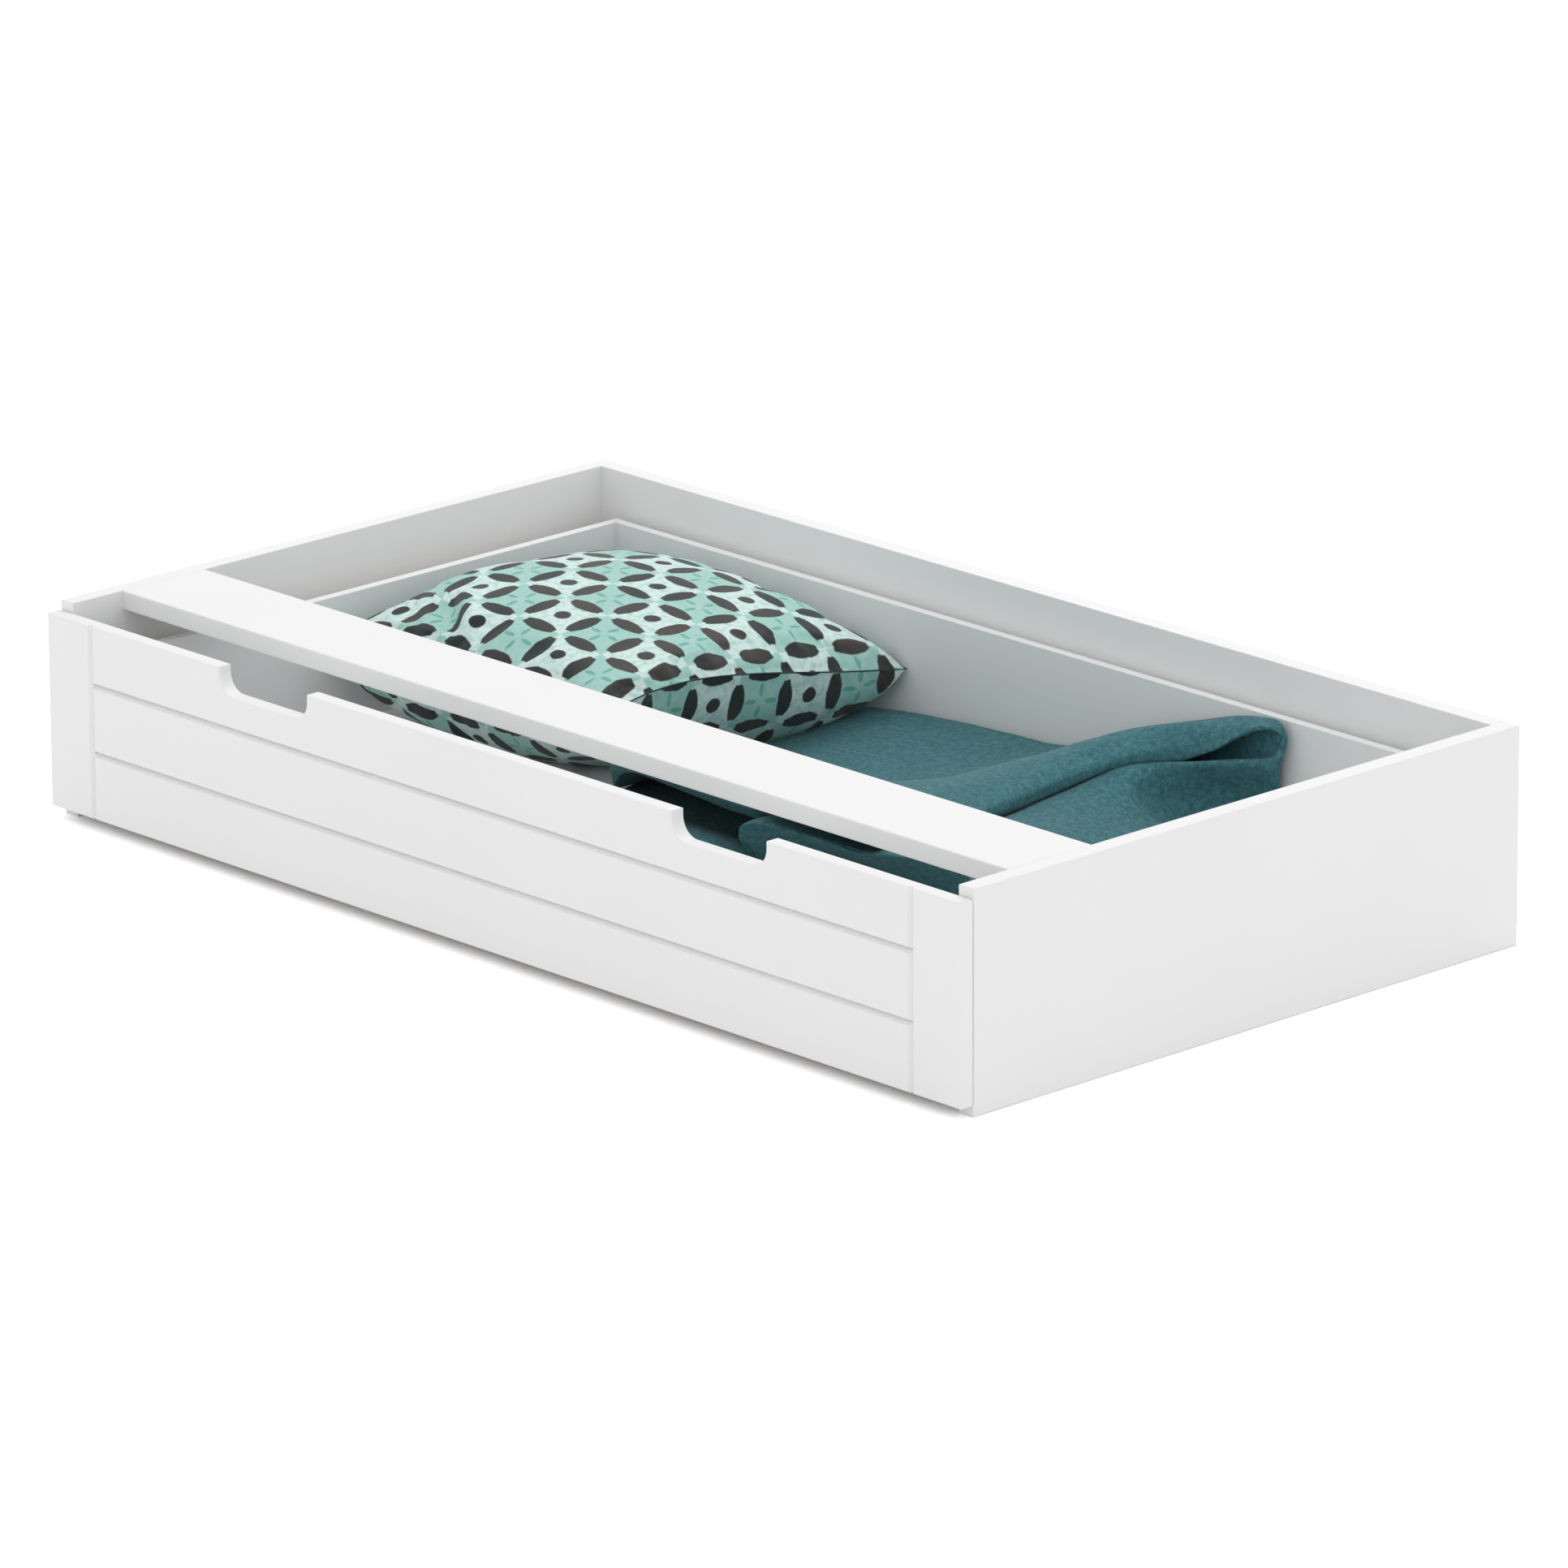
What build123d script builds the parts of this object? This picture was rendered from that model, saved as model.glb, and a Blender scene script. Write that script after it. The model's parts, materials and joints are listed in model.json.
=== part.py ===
from build123d import *
from math import atan, degrees, sqrt
import os

# Trundle bed: a low open carcass of painted board, and a drawer on castors that rolls out of its front.
# Millimetres: X along the length, -Y to the front, Z up. The origin is on the floor, midway under the bed.

# Carcass
overall_length = 1980.0
carcass_depth = 1112.0
carcass_height = 338.0
panel_thickness = 30.0
panel_edge_radius = 2.0
rail_width = 164.5
rail_setback = 98.0

# Drawer front
front_thickness = 25.0
front_gap = 2.0
front_floor_gap = 17.5
front_top_drop = 15.0
front_edge_radius = 3.0
stile_width = 100.0
plank_height_bottom = 104.5
plank_height_middle = 107.5
plank_groove_width = 9.0
plank_groove_depth = 9.0
stile_groove_width = 11.0
stile_groove_depth = 5.5
notch_width = 198.0
notch_depth = 41.0
notch_radius = 30.0
notch_centre = 495.0

# Drawer box
side_gap = 52.0
back_gap = 16.0
box_board = 16.0
box_top = 267.0
box_floor_gap = 24.0
box_edge_radius = 1.0
bottom_thickness = 16.0
bottom_underside = 46.0
bottom_seam_gap = 0.5
bottom_panel_count = 3
cleat_width = 20.0
cleat_height = 20.0
bearer_width = 60.0
bearer_height = 20.0

# Guide battens in the side gaps
guide_clearance = 1.0
guide_height = 28.0
guide_floor_gap = 110.0
guide_end_inset = 60.0

# Castors
wheel_diameter = 40.0
wheel_width = 18.0
wheel_edge_radius = 2.5
wheel_groove_depth = 1.2
wheel_groove_width = 5.0
axle_diameter = 6.0
axle_clearance = 0.08
axle_head_diameter = 10.0
axle_head_thickness = 2.0
bracket_sheet = 2.5
bracket_length = 62.0
bracket_width = 58.0
bracket_cheek_length = 24.0
bracket_cheek_drop = 8.0
wheel_side_clearance = 1.0
castor_side_inset = 95.0
castor_end_inset = 150.0
castor_screw_inset = 7.0

# Fasteners: shank and head sizes, and the drill's extra radius
drill_clearance = 0.1
cam_diameter = 15.0
carcass_cam_thickness = 19.0
box_cam_thickness = 12.0
cam_setback = 34.0
cam_bolt_diameter = 6.0
cam_bolt_seat = 11.0
dowel_diameter = 8.0
dowel_length = 32.0
joint_end_inset = 40.0
dowel_spacing = 32.0
box_screw_diameter = 5.0
box_screw_length = 50.0
box_screw_head_diameter = 9.0
box_screw_head = 3.0
box_screw_inset = 40.0
wood_screw_diameter = 4.0
wood_screw_head_diameter = 8.0
wood_screw_head = 3.0
wood_screw_bite = 10.0
guide_screw_bite = 18.0
guide_screw_sink = 30.0
castor_screw_head = 2.0
bumper_diameter = 10.0
bumper_clearance = 0.3
bumper_inset = 42.0

# Bedding that lies in the drawer
rest_clearance = 0.3
pillow_side = 620.0
pillow_crown = 92.0
pillow_belly = 222.0
pillow_drawn_in = 18.0
pillow_fullness = 0.36
pillow_seam_height = 216.0
pillow_rise_right = 0.013
pillow_rise_front = 0.05
pillow_lean_left = 86.0
pillow_lean_back = 70.0
pillow_left_gap = 24.0
pillow_back_gap = 9.0
blanket_back_gap = 10.0
blanket_length = 682.0
blanket_tucked = 52.0
blanket_flat_height = 36.0
blanket_lip_round = 8.0
blanket_layer_round = 10.0
blanket_end_round = 16.0

# Places worked out from the sizes above
half_length = overall_length / 2
total_depth = carcass_depth + front_gap + front_thickness
front_face_y = -total_depth / 2
front_back_y = front_face_y + front_thickness
carcass_front_y = front_back_y + front_gap
carcass_back_y = total_depth / 2
back_inner_y = carcass_back_y - panel_thickness
inner_half = half_length - panel_thickness
box_half = inner_half - side_gap
box_inner_half = box_half - box_board
box_back_y = back_inner_y - back_gap
box_inner_back_y = box_back_y - box_board
bottom_top = bottom_underside + bottom_thickness
rail_front_y = carcass_front_y + rail_setback
rail_back_y = rail_front_y + rail_width
rail_underside = carcass_height - panel_thickness
front_top = carcass_height - front_top_drop
guide_inner = box_half + guide_clearance
wheel_radius = wheel_diameter / 2
wheel_centre_z = wheel_radius
bottom_panel_width = (2 * box_inner_half - (bottom_panel_count - 1) * bottom_seam_gap) / bottom_panel_count
castor_xs = (-(box_inner_half - castor_side_inset), 0.0, box_inner_half - castor_side_inset)
castor_ys = (front_back_y + castor_end_inset, box_inner_back_y - castor_end_inset)
seam_xs = [-box_inner_half + i * (bottom_panel_width + bottom_seam_gap) - bottom_seam_gap / 2 for i in (1, 2)]

os.makedirs("parts", exist_ok=True)


def save(name, shape):
    export_step(shape, f"parts/{name}.step")


def block(x0, x1, y0, y1, z0, z1):
    corner = (Align.MIN, Align.MIN, Align.MIN)
    return Pos(x0, y0, z0) * Box(x1 - x0, y1 - y0, z1 - z0, align=corner)


# A turned pin from its outer face inwards: each step is a length and a diameter.
def pin(start, direction, steps, grow=0.0):
    travelled = 0.0
    shape = None
    for length, diameter in steps:
        base = Vector(start) + Vector(direction) * travelled
        step = extrude(Plane(base, z_dir=direction) * Circle(diameter / 2 + grow), length)
        shape = step if shape is None else shape + step
        travelled += length
    return shape


def pins(places, steps, grow=0.0):
    return [pin(start, direction, steps, grow) for start, direction in places]


def drilled(board, *groups):
    for places, steps in groups:
        board = board - pins(places, steps, drill_clearance)
    return board


def group(solids):
    return Compound(children=list(solids))


# Knock-down joint of a board's end to an upright: bolts and dowels along the joint, discs in the board's face.
cam_bolt_length = cam_bolt_seat + cam_setback - cam_diameter / 2
cam_bolt_steps = [(cam_bolt_length, cam_bolt_diameter)]
carcass_cam_steps = [(carcass_cam_thickness, cam_diameter)]
box_cam_steps = [(box_cam_thickness, cam_diameter)]
dowel_steps = [(dowel_length, dowel_diameter)]
box_screw_steps = [(box_screw_head, box_screw_head_diameter),
                   (box_screw_length - box_screw_head, box_screw_diameter)]

# Back panel to the sides
back_mid_y = back_inner_y + panel_thickness / 2
back_bolt_zs = (joint_end_inset, carcass_height - joint_end_inset)
back_bolts = []
back_discs = []
back_dowels = []
for side in (-1, 1):
    inward = (-side, 0, 0)
    for z, toward in zip(back_bolt_zs, (1, -1)):
        back_bolts.append(((side * (inner_half + cam_bolt_seat), back_mid_y, z), inward))
        back_discs.append(((side * (inner_half - cam_setback), carcass_back_y, z), (0, -1, 0)))
        dowel_z = z + toward * dowel_spacing
        back_dowels.append(((side * (inner_half + dowel_length / 2), back_mid_y, dowel_z), inward))

# Top rail to the sides
rail_mid_z = carcass_height - panel_thickness / 2
rail_bolts = []
rail_discs = []
rail_dowels = []
for side in (-1, 1):
    inward = (-side, 0, 0)
    for y, toward in ((rail_front_y + joint_end_inset, 1), (rail_back_y - joint_end_inset, -1)):
        rail_bolts.append(((side * (inner_half + cam_bolt_seat), y, rail_mid_z), inward))
        rail_discs.append(((side * (inner_half - cam_setback), y, rail_underside), (0, 0, 1)))
        dowel_y = y + toward * dowel_spacing
        rail_dowels.append(((side * (inner_half + dowel_length / 2), dowel_y, rail_mid_z), inward))

# Guide battens to the sides
guide_screw_length = inner_half - guide_inner - guide_screw_sink + guide_screw_bite
guide_screw_steps = [(wood_screw_head, wood_screw_head_diameter),
                     (guide_screw_length - wood_screw_head, wood_screw_diameter)]
guide_sink_steps = [(guide_screw_sink, wood_screw_head_diameter)]
guide_front_y = carcass_front_y + guide_end_inset
guide_back_y = back_inner_y - guide_end_inset
guide_mid_z = guide_floor_gap + guide_height / 2
guide_length = guide_back_y - guide_front_y
guide_screw_ys = [guide_front_y + guide_length * share for share in (0.06, 0.35, 0.65, 0.94)]
guide_screws = {}
guide_sinks = {}
for side in (-1, 1):
    outward = (side, 0, 0)
    sunk_x = side * (guide_inner + guide_screw_sink)
    guide_screws[side] = [((sunk_x, y, guide_mid_z), outward) for y in guide_screw_ys]
    guide_sinks[side] = [((side * guide_inner, y, guide_mid_z), outward) for y in guide_screw_ys]


# Carcass boards
def side_panel(side):
    x0, x1 = sorted((side * inner_half, side * half_length))
    board = block(x0, x1, carcass_front_y, carcass_back_y, 0, carcass_height)
    outer = side * half_length
    edges = [e for e in board.edges() if abs(e.center().X - outer) < panel_thickness / 10]
    board = fillet(edges, panel_edge_radius)
    return drilled(board, (back_bolts, cam_bolt_steps), (back_dowels, dowel_steps),
                   (rail_bolts, cam_bolt_steps), (rail_dowels, dowel_steps),
                   (guide_screws[side], guide_screw_steps))


save("left_side_panel", side_panel(-1))
save("right_side_panel", side_panel(1))

back_board = block(-inner_half, inner_half, back_inner_y, carcass_back_y, 0, carcass_height)
save("back_panel", drilled(back_board, (back_bolts, cam_bolt_steps), (back_discs, carcass_cam_steps),
                           (back_dowels, dowel_steps)))

rail_board = block(-inner_half, inner_half, rail_front_y, rail_back_y, rail_underside, carcass_height)
rail_board = fillet(rail_board.edges().filter_by(Axis.X), panel_edge_radius)
save("top_rail", drilled(rail_board, (rail_bolts, cam_bolt_steps), (rail_discs, carcass_cam_steps),
                         (rail_dowels, dowel_steps)))

save("back_cam_bolts", group(pins(back_bolts, cam_bolt_steps)))
save("back_cam_discs", group(pins(back_discs, carcass_cam_steps)))
save("back_dowels", group(pins(back_dowels, dowel_steps)))
save("rail_cam_bolts", group(pins(rail_bolts, cam_bolt_steps)))
save("rail_cam_discs", group(pins(rail_discs, carcass_cam_steps)))
save("rail_dowels", group(pins(rail_dowels, dowel_steps)))


def guide_batten(side):
    x0, x1 = sorted((side * guide_inner, side * inner_half))
    board = block(x0, x1, guide_front_y, guide_back_y, guide_floor_gap, guide_floor_gap + guide_height)
    return drilled(board, (guide_sinks[side], guide_sink_steps), (guide_screws[side], guide_screw_steps))


save("left_guide_batten", guide_batten(-1))
save("right_guide_batten", guide_batten(1))
save("guide_screws", group(pins(guide_screws[-1] + guide_screws[1], guide_screw_steps)))

# Drawer front to the box sides: discs in the outer faces of the sides, bolts and dowels into the front
side_mid_x = box_inner_half + box_board / 2
front_joint_zs = (box_floor_gap + joint_end_inset, box_top - joint_end_inset)
front_bolts = []
front_discs = []
front_dowels = []
for side in (-1, 1):
    for z, toward in zip(front_joint_zs, (1, -1)):
        front_bolts.append(((side * side_mid_x, front_back_y - cam_bolt_seat, z), (0, 1, 0)))
        front_discs.append(((side * box_half, front_back_y + cam_setback, z), (-side, 0, 0)))
        dowel_z = z + toward * dowel_spacing
        front_dowels.append(((side * side_mid_x, front_back_y - dowel_length / 2, dowel_z), (0, 1, 0)))

# Screws through the box sides into the ends of the back and the edges of the outer bottom panels,
# and through the back into the rear edges of the bottom panels
box_back_mid_y = box_back_y - box_board / 2
bottom_mid_z = bottom_underside + bottom_thickness / 2
back_screw_zs = (bottom_top + box_screw_inset, box_top - box_screw_inset)
edge_screw_front_y = front_back_y + 2 * box_screw_inset
edge_screw_back_y = box_inner_back_y - 2 * box_screw_inset
edge_screw_ys = (edge_screw_front_y, (edge_screw_front_y + edge_screw_back_y) / 2, edge_screw_back_y)
side_screws = []
for side in (-1, 1):
    inward = (-side, 0, 0)
    side_screws += [((side * box_half, box_back_mid_y, z), inward) for z in back_screw_zs]
    side_screws += [((side * box_half, y, bottom_mid_z), inward) for y in edge_screw_ys]
panel_mid_xs = [-box_inner_half + bottom_panel_width / 2 + i * (bottom_panel_width + bottom_seam_gap)
                for i in range(bottom_panel_count)]
rear_screws = []
for x in panel_mid_xs:
    for offset in (-bottom_panel_width / 4, bottom_panel_width / 4):
        rear_screws.append(((x + offset, box_back_y, bottom_mid_z), (0, -1, 0)))

# Wood screws up through the bearers and cleats into the bottom panels
bearer_underside = bottom_underside - bearer_height
cleat_underside = bottom_underside - cleat_height
bearer_front_y = front_back_y + cleat_width
bearer_back_y = box_inner_back_y - cleat_width
bearer_screw_ys = [bearer_front_y + (bearer_back_y - bearer_front_y) * share for share in (0.1, 0.5, 0.9)]
bearer_screws = [((x + offset, y, bearer_underside), (0, 0, 1)) for x in seam_xs
                 for offset in (-bearer_width / 4, bearer_width / 4) for y in bearer_screw_ys]
cleat_screws = [((x + offset, y, cleat_underside), (0, 0, 1)) for x in panel_mid_xs
                for offset in (-bottom_panel_width / 3, bottom_panel_width / 3)
                for y in (front_back_y + cleat_width / 2, box_inner_back_y - cleat_width / 2)]
bearer_screw_steps = [(wood_screw_head, wood_screw_head_diameter),
                      (bearer_height - wood_screw_head + wood_screw_bite, wood_screw_diameter)]
cleat_screw_steps = [(wood_screw_head, wood_screw_head_diameter),
                     (cleat_height - wood_screw_head + wood_screw_bite, wood_screw_diameter)]

# Castor screws up through the bracket plates
plate_underside = bottom_underside - bracket_sheet
castor_screw_start = plate_underside - castor_screw_head
castor_screw_x = bracket_width / 2 - castor_screw_inset
castor_screw_y = bracket_length / 2 - castor_screw_inset
castor_screws = [((x + dx, y + dy, castor_screw_start), (0, 0, 1)) for x in castor_xs for y in castor_ys
                 for dx in (-castor_screw_x, castor_screw_x) for dy in (-castor_screw_y, castor_screw_y)]
castor_screw_steps = [(castor_screw_head, wood_screw_head_diameter),
                      (bracket_sheet + wood_screw_bite, wood_screw_diameter)]


# Finger cut-out: a straight drop at each end, then a quarter round into a flat floor
def notch_profile():
    half = notch_width / 2
    floor = front_top - notch_depth
    turn = floor + notch_radius
    above = front_top + notch_depth
    outline = Polyline((-half, turn), (-half, above), (half, above), (half, turn))
    round_right = RadiusArc((half, turn), (half - notch_radius, floor), notch_radius)
    flat = Line((half - notch_radius, floor), (-half + notch_radius, floor))
    round_left = RadiusArc((-half + notch_radius, floor), (-half, turn), notch_radius)
    return make_face(Curve() + [outline, round_right, flat, round_left])


def groove(width, depth, length):
    profile = make_face(Polyline((-width, -depth), (width, -depth), (0, depth), close=True))
    return extrude(profile, length / 2, both=True)


def drawer_front():
    board = block(-half_length, half_length, front_face_y, front_back_y, front_floor_gap, front_top)
    cutter = extrude(Plane.XZ * notch_profile(), 2 * total_depth, both=True)
    for x in (-notch_centre, notch_centre):
        board = board - Pos(x, 0, 0) * cutter
    face_edges = board.faces().sort_by(Axis.Y)[0].outer_wire().edges()
    board = fillet(face_edges, front_edge_radius)
    rear_top = [e for e in board.faces().sort_by(Axis.Y)[-1].outer_wire().edges()
                if e.center().Z > front_top - notch_depth - notch_radius]
    board = fillet(rear_top, front_edge_radius / 2)
    plank_groove = groove(plank_groove_width, plank_groove_depth, 2 * (half_length - stile_width))
    for height in (plank_height_bottom, plank_height_bottom + plank_height_middle):
        board = board - Pos(0, front_face_y, front_floor_gap + height) * Rot(0, 90, 0) * plank_groove
    stile_groove = groove(stile_groove_width, stile_groove_depth, 4 * carcass_height)
    for x in (-half_length + stile_width, half_length - stile_width):
        board = board - Pos(x, front_face_y, 0) * stile_groove
    return drilled(board, (front_bolts, cam_bolt_steps), (front_dowels, dowel_steps))


save("drawer_front", drawer_front())


# Drawer box
def box_side(side):
    x0, x1 = sorted((side * box_inner_half, side * box_half))
    board = block(x0, x1, front_back_y, box_back_y, box_floor_gap, box_top)
    top_edges = board.faces().sort_by(Axis.Z)[-1].edges().filter_by(Axis.Y)
    board = fillet(top_edges, box_edge_radius)
    return drilled(board, (front_bolts, cam_bolt_steps), (front_discs, box_cam_steps),
                   (front_dowels, dowel_steps), (side_screws, box_screw_steps))


save("drawer_left_side", box_side(-1))
save("drawer_right_side", box_side(1))

box_back = block(-box_inner_half, box_inner_half, box_inner_back_y, box_back_y, box_floor_gap, box_top)
box_back = fillet(box_back.faces().sort_by(Axis.Z)[-1].edges().filter_by(Axis.X), box_edge_radius)
save("drawer_back", drilled(box_back, (side_screws, box_screw_steps), (rear_screws, box_screw_steps)))

for name, x in zip(("left", "middle", "right"), panel_mid_xs):
    panel = block(x - bottom_panel_width / 2, x + bottom_panel_width / 2, front_back_y, box_inner_back_y,
                  bottom_underside, bottom_top)
    panel = drilled(panel, (side_screws, box_screw_steps), (rear_screws, box_screw_steps),
                    (bearer_screws, bearer_screw_steps), (cleat_screws, cleat_screw_steps),
                    (castor_screws, castor_screw_steps))
    save(f"bottom_panel_{name}", panel)

for name, x in zip(("left", "right"), seam_xs):
    bearer = block(x - bearer_width / 2, x + bearer_width / 2, bearer_front_y, bearer_back_y, bearer_underside,
                   bottom_underside)
    save(f"bearer_{name}", drilled(bearer, (bearer_screws, bearer_screw_steps)))

for name, y in (("front", front_back_y), ("back", box_inner_back_y - cleat_width)):
    cleat = block(-box_inner_half, box_inner_half, y, y + cleat_width, cleat_underside, bottom_underside)
    save(f"{name}_cleat", drilled(cleat, (cleat_screws, cleat_screw_steps)))

save("front_cam_bolts", group(pins(front_bolts, cam_bolt_steps)))
save("front_cam_discs", group(pins(front_discs, box_cam_steps)))
save("front_dowels", group(pins(front_dowels, dowel_steps)))
save("box_screws", group(pins(side_screws + rear_screws, box_screw_steps)))
save("bearer_screws", group(pins(bearer_screws, bearer_screw_steps)))
save("cleat_screws", group(pins(cleat_screws, cleat_screw_steps)))
save("castor_screws", group(pins(castor_screws, castor_screw_steps)))

# Soft stops on the back of the front, against the front edges of the side panels
bumper_x = half_length - panel_thickness / 2
bumpers = [((side * bumper_x, front_back_y, z), (0, 1, 0)) for side in (-1, 1)
           for z in (front_floor_gap + bumper_inset, front_top - bumper_inset)]
save("front_bumpers", group(pins(bumpers, [(front_gap - bumper_clearance, bumper_diameter)])))

# Castors: a bent bracket, an axle riveted through its cheeks and a wheel that turns on the axle
cheek_inner = wheel_width / 2 + wheel_side_clearance
cheek_outer = cheek_inner + bracket_sheet
plate_holes = [((dx, dy, plate_underside), (0, 0, 1)) for dx in (-castor_screw_x, castor_screw_x)
               for dy in (-castor_screw_y, castor_screw_y)]


def castor_bracket():
    plate = block(-bracket_width / 2, bracket_width / 2, -bracket_length / 2, bracket_length / 2,
                  plate_underside, bottom_underside)
    plate = fillet(plate.edges().filter_by(Axis.Z), castor_screw_inset)
    shape = plate
    for x in (-cheek_outer, cheek_inner):
        cheek = block(x, x + bracket_sheet, -bracket_cheek_length / 2, bracket_cheek_length / 2,
                      wheel_centre_z - bracket_cheek_drop, plate_underside)
        low = cheek.faces().sort_by(Axis.Z)[0].edges().filter_by(Axis.X)
        shape = shape + fillet(low, bracket_cheek_drop)
    bore_steps = [(2 * bracket_width, axle_diameter)]
    shape = shape - pin((-bracket_width, 0, wheel_centre_z), (1, 0, 0), bore_steps, drill_clearance)
    return drilled(shape, (plate_holes, [(bracket_sheet, wood_screw_diameter)]))


def castor_axle():
    head = axle_head_thickness
    return pin((-cheek_outer - head, 0, wheel_centre_z), (1, 0, 0),
               [(head, axle_head_diameter), (2 * cheek_outer, axle_diameter), (head, axle_head_diameter)])


def castor_wheel():
    half = wheel_width / 2
    tread = extrude(Plane((-half, 0, wheel_centre_z), z_dir=(1, 0, 0)) * Circle(wheel_radius), wheel_width)
    tread = fillet(tread.edges(), wheel_edge_radius)
    ring = (Circle(wheel_radius - 2 * wheel_edge_radius)
            - Circle(wheel_radius - 2 * wheel_edge_radius - wheel_groove_width))
    for x, way in ((-half, 1), (half, -1)):
        tread = tread - extrude(Plane((x, 0, wheel_centre_z), z_dir=(way, 0, 0)) * ring, wheel_groove_depth)
    bore_steps = [(2 * wheel_width, axle_diameter)]
    return tread - pin((-wheel_width, 0, wheel_centre_z), (1, 0, 0), bore_steps, axle_clearance)


bracket = castor_bracket()
axle = castor_axle()
wheel = castor_wheel()
for number, (x, y) in enumerate([(x, y) for y in castor_ys for x in castor_xs], start=1):
    save(f"castor_bracket_{number}", Pos(x, y, 0) * bracket)
    save(f"castor_axle_{number}", Pos(x, y, 0) * axle)
    save(f"castor_wheel_{number}", Pos(x, y, 0) * wheel)


# Pillow: level outlines of a stuffed square, each four arcs between its corners, drawn in at the seam.
# The fullest part leans to the back left corner of the drawer.
pillow_left_x = -box_inner_half + pillow_left_gap
pillow_right_x = pillow_left_x + pillow_side


def pillow_level(share, height):
    half = pillow_side / 2
    level = share ** (1 / pillow_fullness)
    corner = half * sqrt(1 - sqrt(level))
    middle = (half - pillow_drawn_in * (1 - level)) * sqrt(1 - level)
    ends = [(-corner, -corner), (corner, -corner), (corner, corner), (-corner, corner)]
    mids = [(0, -middle), (middle, 0), (0, middle), (-middle, 0)]
    arcs = [ThreePointArc(ends[i], mids[i], ends[(i + 1) % 4]) for i in range(4)]
    return Pos(-level * pillow_lean_left, level * pillow_lean_back, height) * make_face(Curve() + arcs)


def pillow():
    shares = (0.0, 0.2, 0.45, 0.7, 0.88, 0.97)
    upper = loft([pillow_level(share, share * pillow_crown) for share in shares])
    lower = loft([pillow_level(share, -share * pillow_belly) for share in shares])
    tilt = Rot(-degrees(atan(pillow_rise_front)), -degrees(atan(pillow_rise_right)), 0)
    centre_x = (pillow_left_x + pillow_right_x) / 2
    centre_y = box_inner_back_y - pillow_back_gap - pillow_side / 2
    form = Pos(centre_x, centre_y, pillow_seam_height) * tilt * (upper + lower)
    under = block(-half_length, half_length, front_face_y, carcass_back_y, -carcass_height,
                  bottom_top + rest_clearance)
    return form - under


save("pillow", pillow())

# Blanket: sections from front to back of a folded throw. A thin end lies flat and goes under the pillow, then
# the cloth climbs over a roll to a lip, and drops from the lip to a lower layer that turns under at the right.
# Each row: its share of the blanket's length from the front, then foot, shoulder, lip, lower layer and right
# end, each as its distance from the blanket's left end and its height above the drawer bottom.
blanket_rows = [
    (0.00, (404.0, 38.0), (500.0, 106.0), (738.0, 124.0), (752.0, 112.0), (884.0, 70.0)),
    (0.27, (400.0, 40.0), (510.0, 100.0), (736.0, 126.0), (752.0, 113.0), (888.0, 76.0)),
    (0.56, (398.0, 44.0), (525.0, 98.0), (718.0, 128.0), (738.0, 115.0), (892.0, 80.0)),
    (0.83, (402.0, 52.0), (545.0, 106.0), (710.0, 132.0), (734.0, 116.0), (894.0, 86.0)),
    (0.94, (408.0, 60.0), (570.0, 122.0), (770.0, 165.0), (800.0, 128.0), (892.0, 92.0)),
    (1.00, (413.0, 64.0), (590.0, 138.0), (840.0, 196.0), (868.0, 150.0), (886.0, 100.0)),
]
blanket_left_x = pillow_right_x - blanket_tucked
blanket_front_y = box_inner_back_y - blanket_back_gap - blanket_length


def bulged(start, end, bulge):
    middle = (start + end) / 2
    across = (end - start).cross(Vector(0, 1, 0)).normalized()
    return ThreePointArc(start, middle + across * bulge, end)


def blanket_section(row):
    y = blanket_front_y + row[0] * blanket_length
    base = bottom_top + rest_clearance
    foot, shoulder, lip, layer, right = [Vector(blanket_left_x + x, y, base + z) for x, z in row[1:]]
    low_left = Vector(blanket_left_x, y, base)
    top_left = Vector(blanket_left_x, y, base + blanket_flat_height)
    low_right = Vector(right.X, y, base)
    edges = [Line(low_left, top_left), Line(top_left, foot), ThreePointArc(foot, shoulder, lip),
             bulged(lip, layer, blanket_lip_round), bulged(layer, right, blanket_layer_round),
             bulged(right, low_right, blanket_end_round), Line(low_right, low_left)]
    return make_face(Curve() + edges)


save("blanket", loft([blanket_section(row) for row in blanket_rows]))
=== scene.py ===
import json
import math

import bpy
import numpy as np
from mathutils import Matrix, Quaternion, Vector


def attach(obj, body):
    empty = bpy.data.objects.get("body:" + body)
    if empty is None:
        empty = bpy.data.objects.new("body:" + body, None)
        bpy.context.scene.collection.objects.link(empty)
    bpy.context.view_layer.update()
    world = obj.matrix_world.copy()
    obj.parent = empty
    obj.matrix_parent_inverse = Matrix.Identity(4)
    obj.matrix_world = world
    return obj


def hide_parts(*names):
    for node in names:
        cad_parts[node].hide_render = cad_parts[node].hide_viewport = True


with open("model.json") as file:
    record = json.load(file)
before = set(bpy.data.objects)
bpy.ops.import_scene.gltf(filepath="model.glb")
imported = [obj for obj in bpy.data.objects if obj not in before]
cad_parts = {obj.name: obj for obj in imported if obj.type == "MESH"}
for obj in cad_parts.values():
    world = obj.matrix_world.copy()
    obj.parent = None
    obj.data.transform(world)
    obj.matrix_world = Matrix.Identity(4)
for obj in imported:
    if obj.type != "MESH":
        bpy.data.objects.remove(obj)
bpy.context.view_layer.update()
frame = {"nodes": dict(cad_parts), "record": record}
nodes = frame["nodes"]
scene = bpy.context.scene
scene.view_settings.view_transform = "Standard"
mm = 0.001
print("frame:", len(nodes), "nodes")


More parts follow.
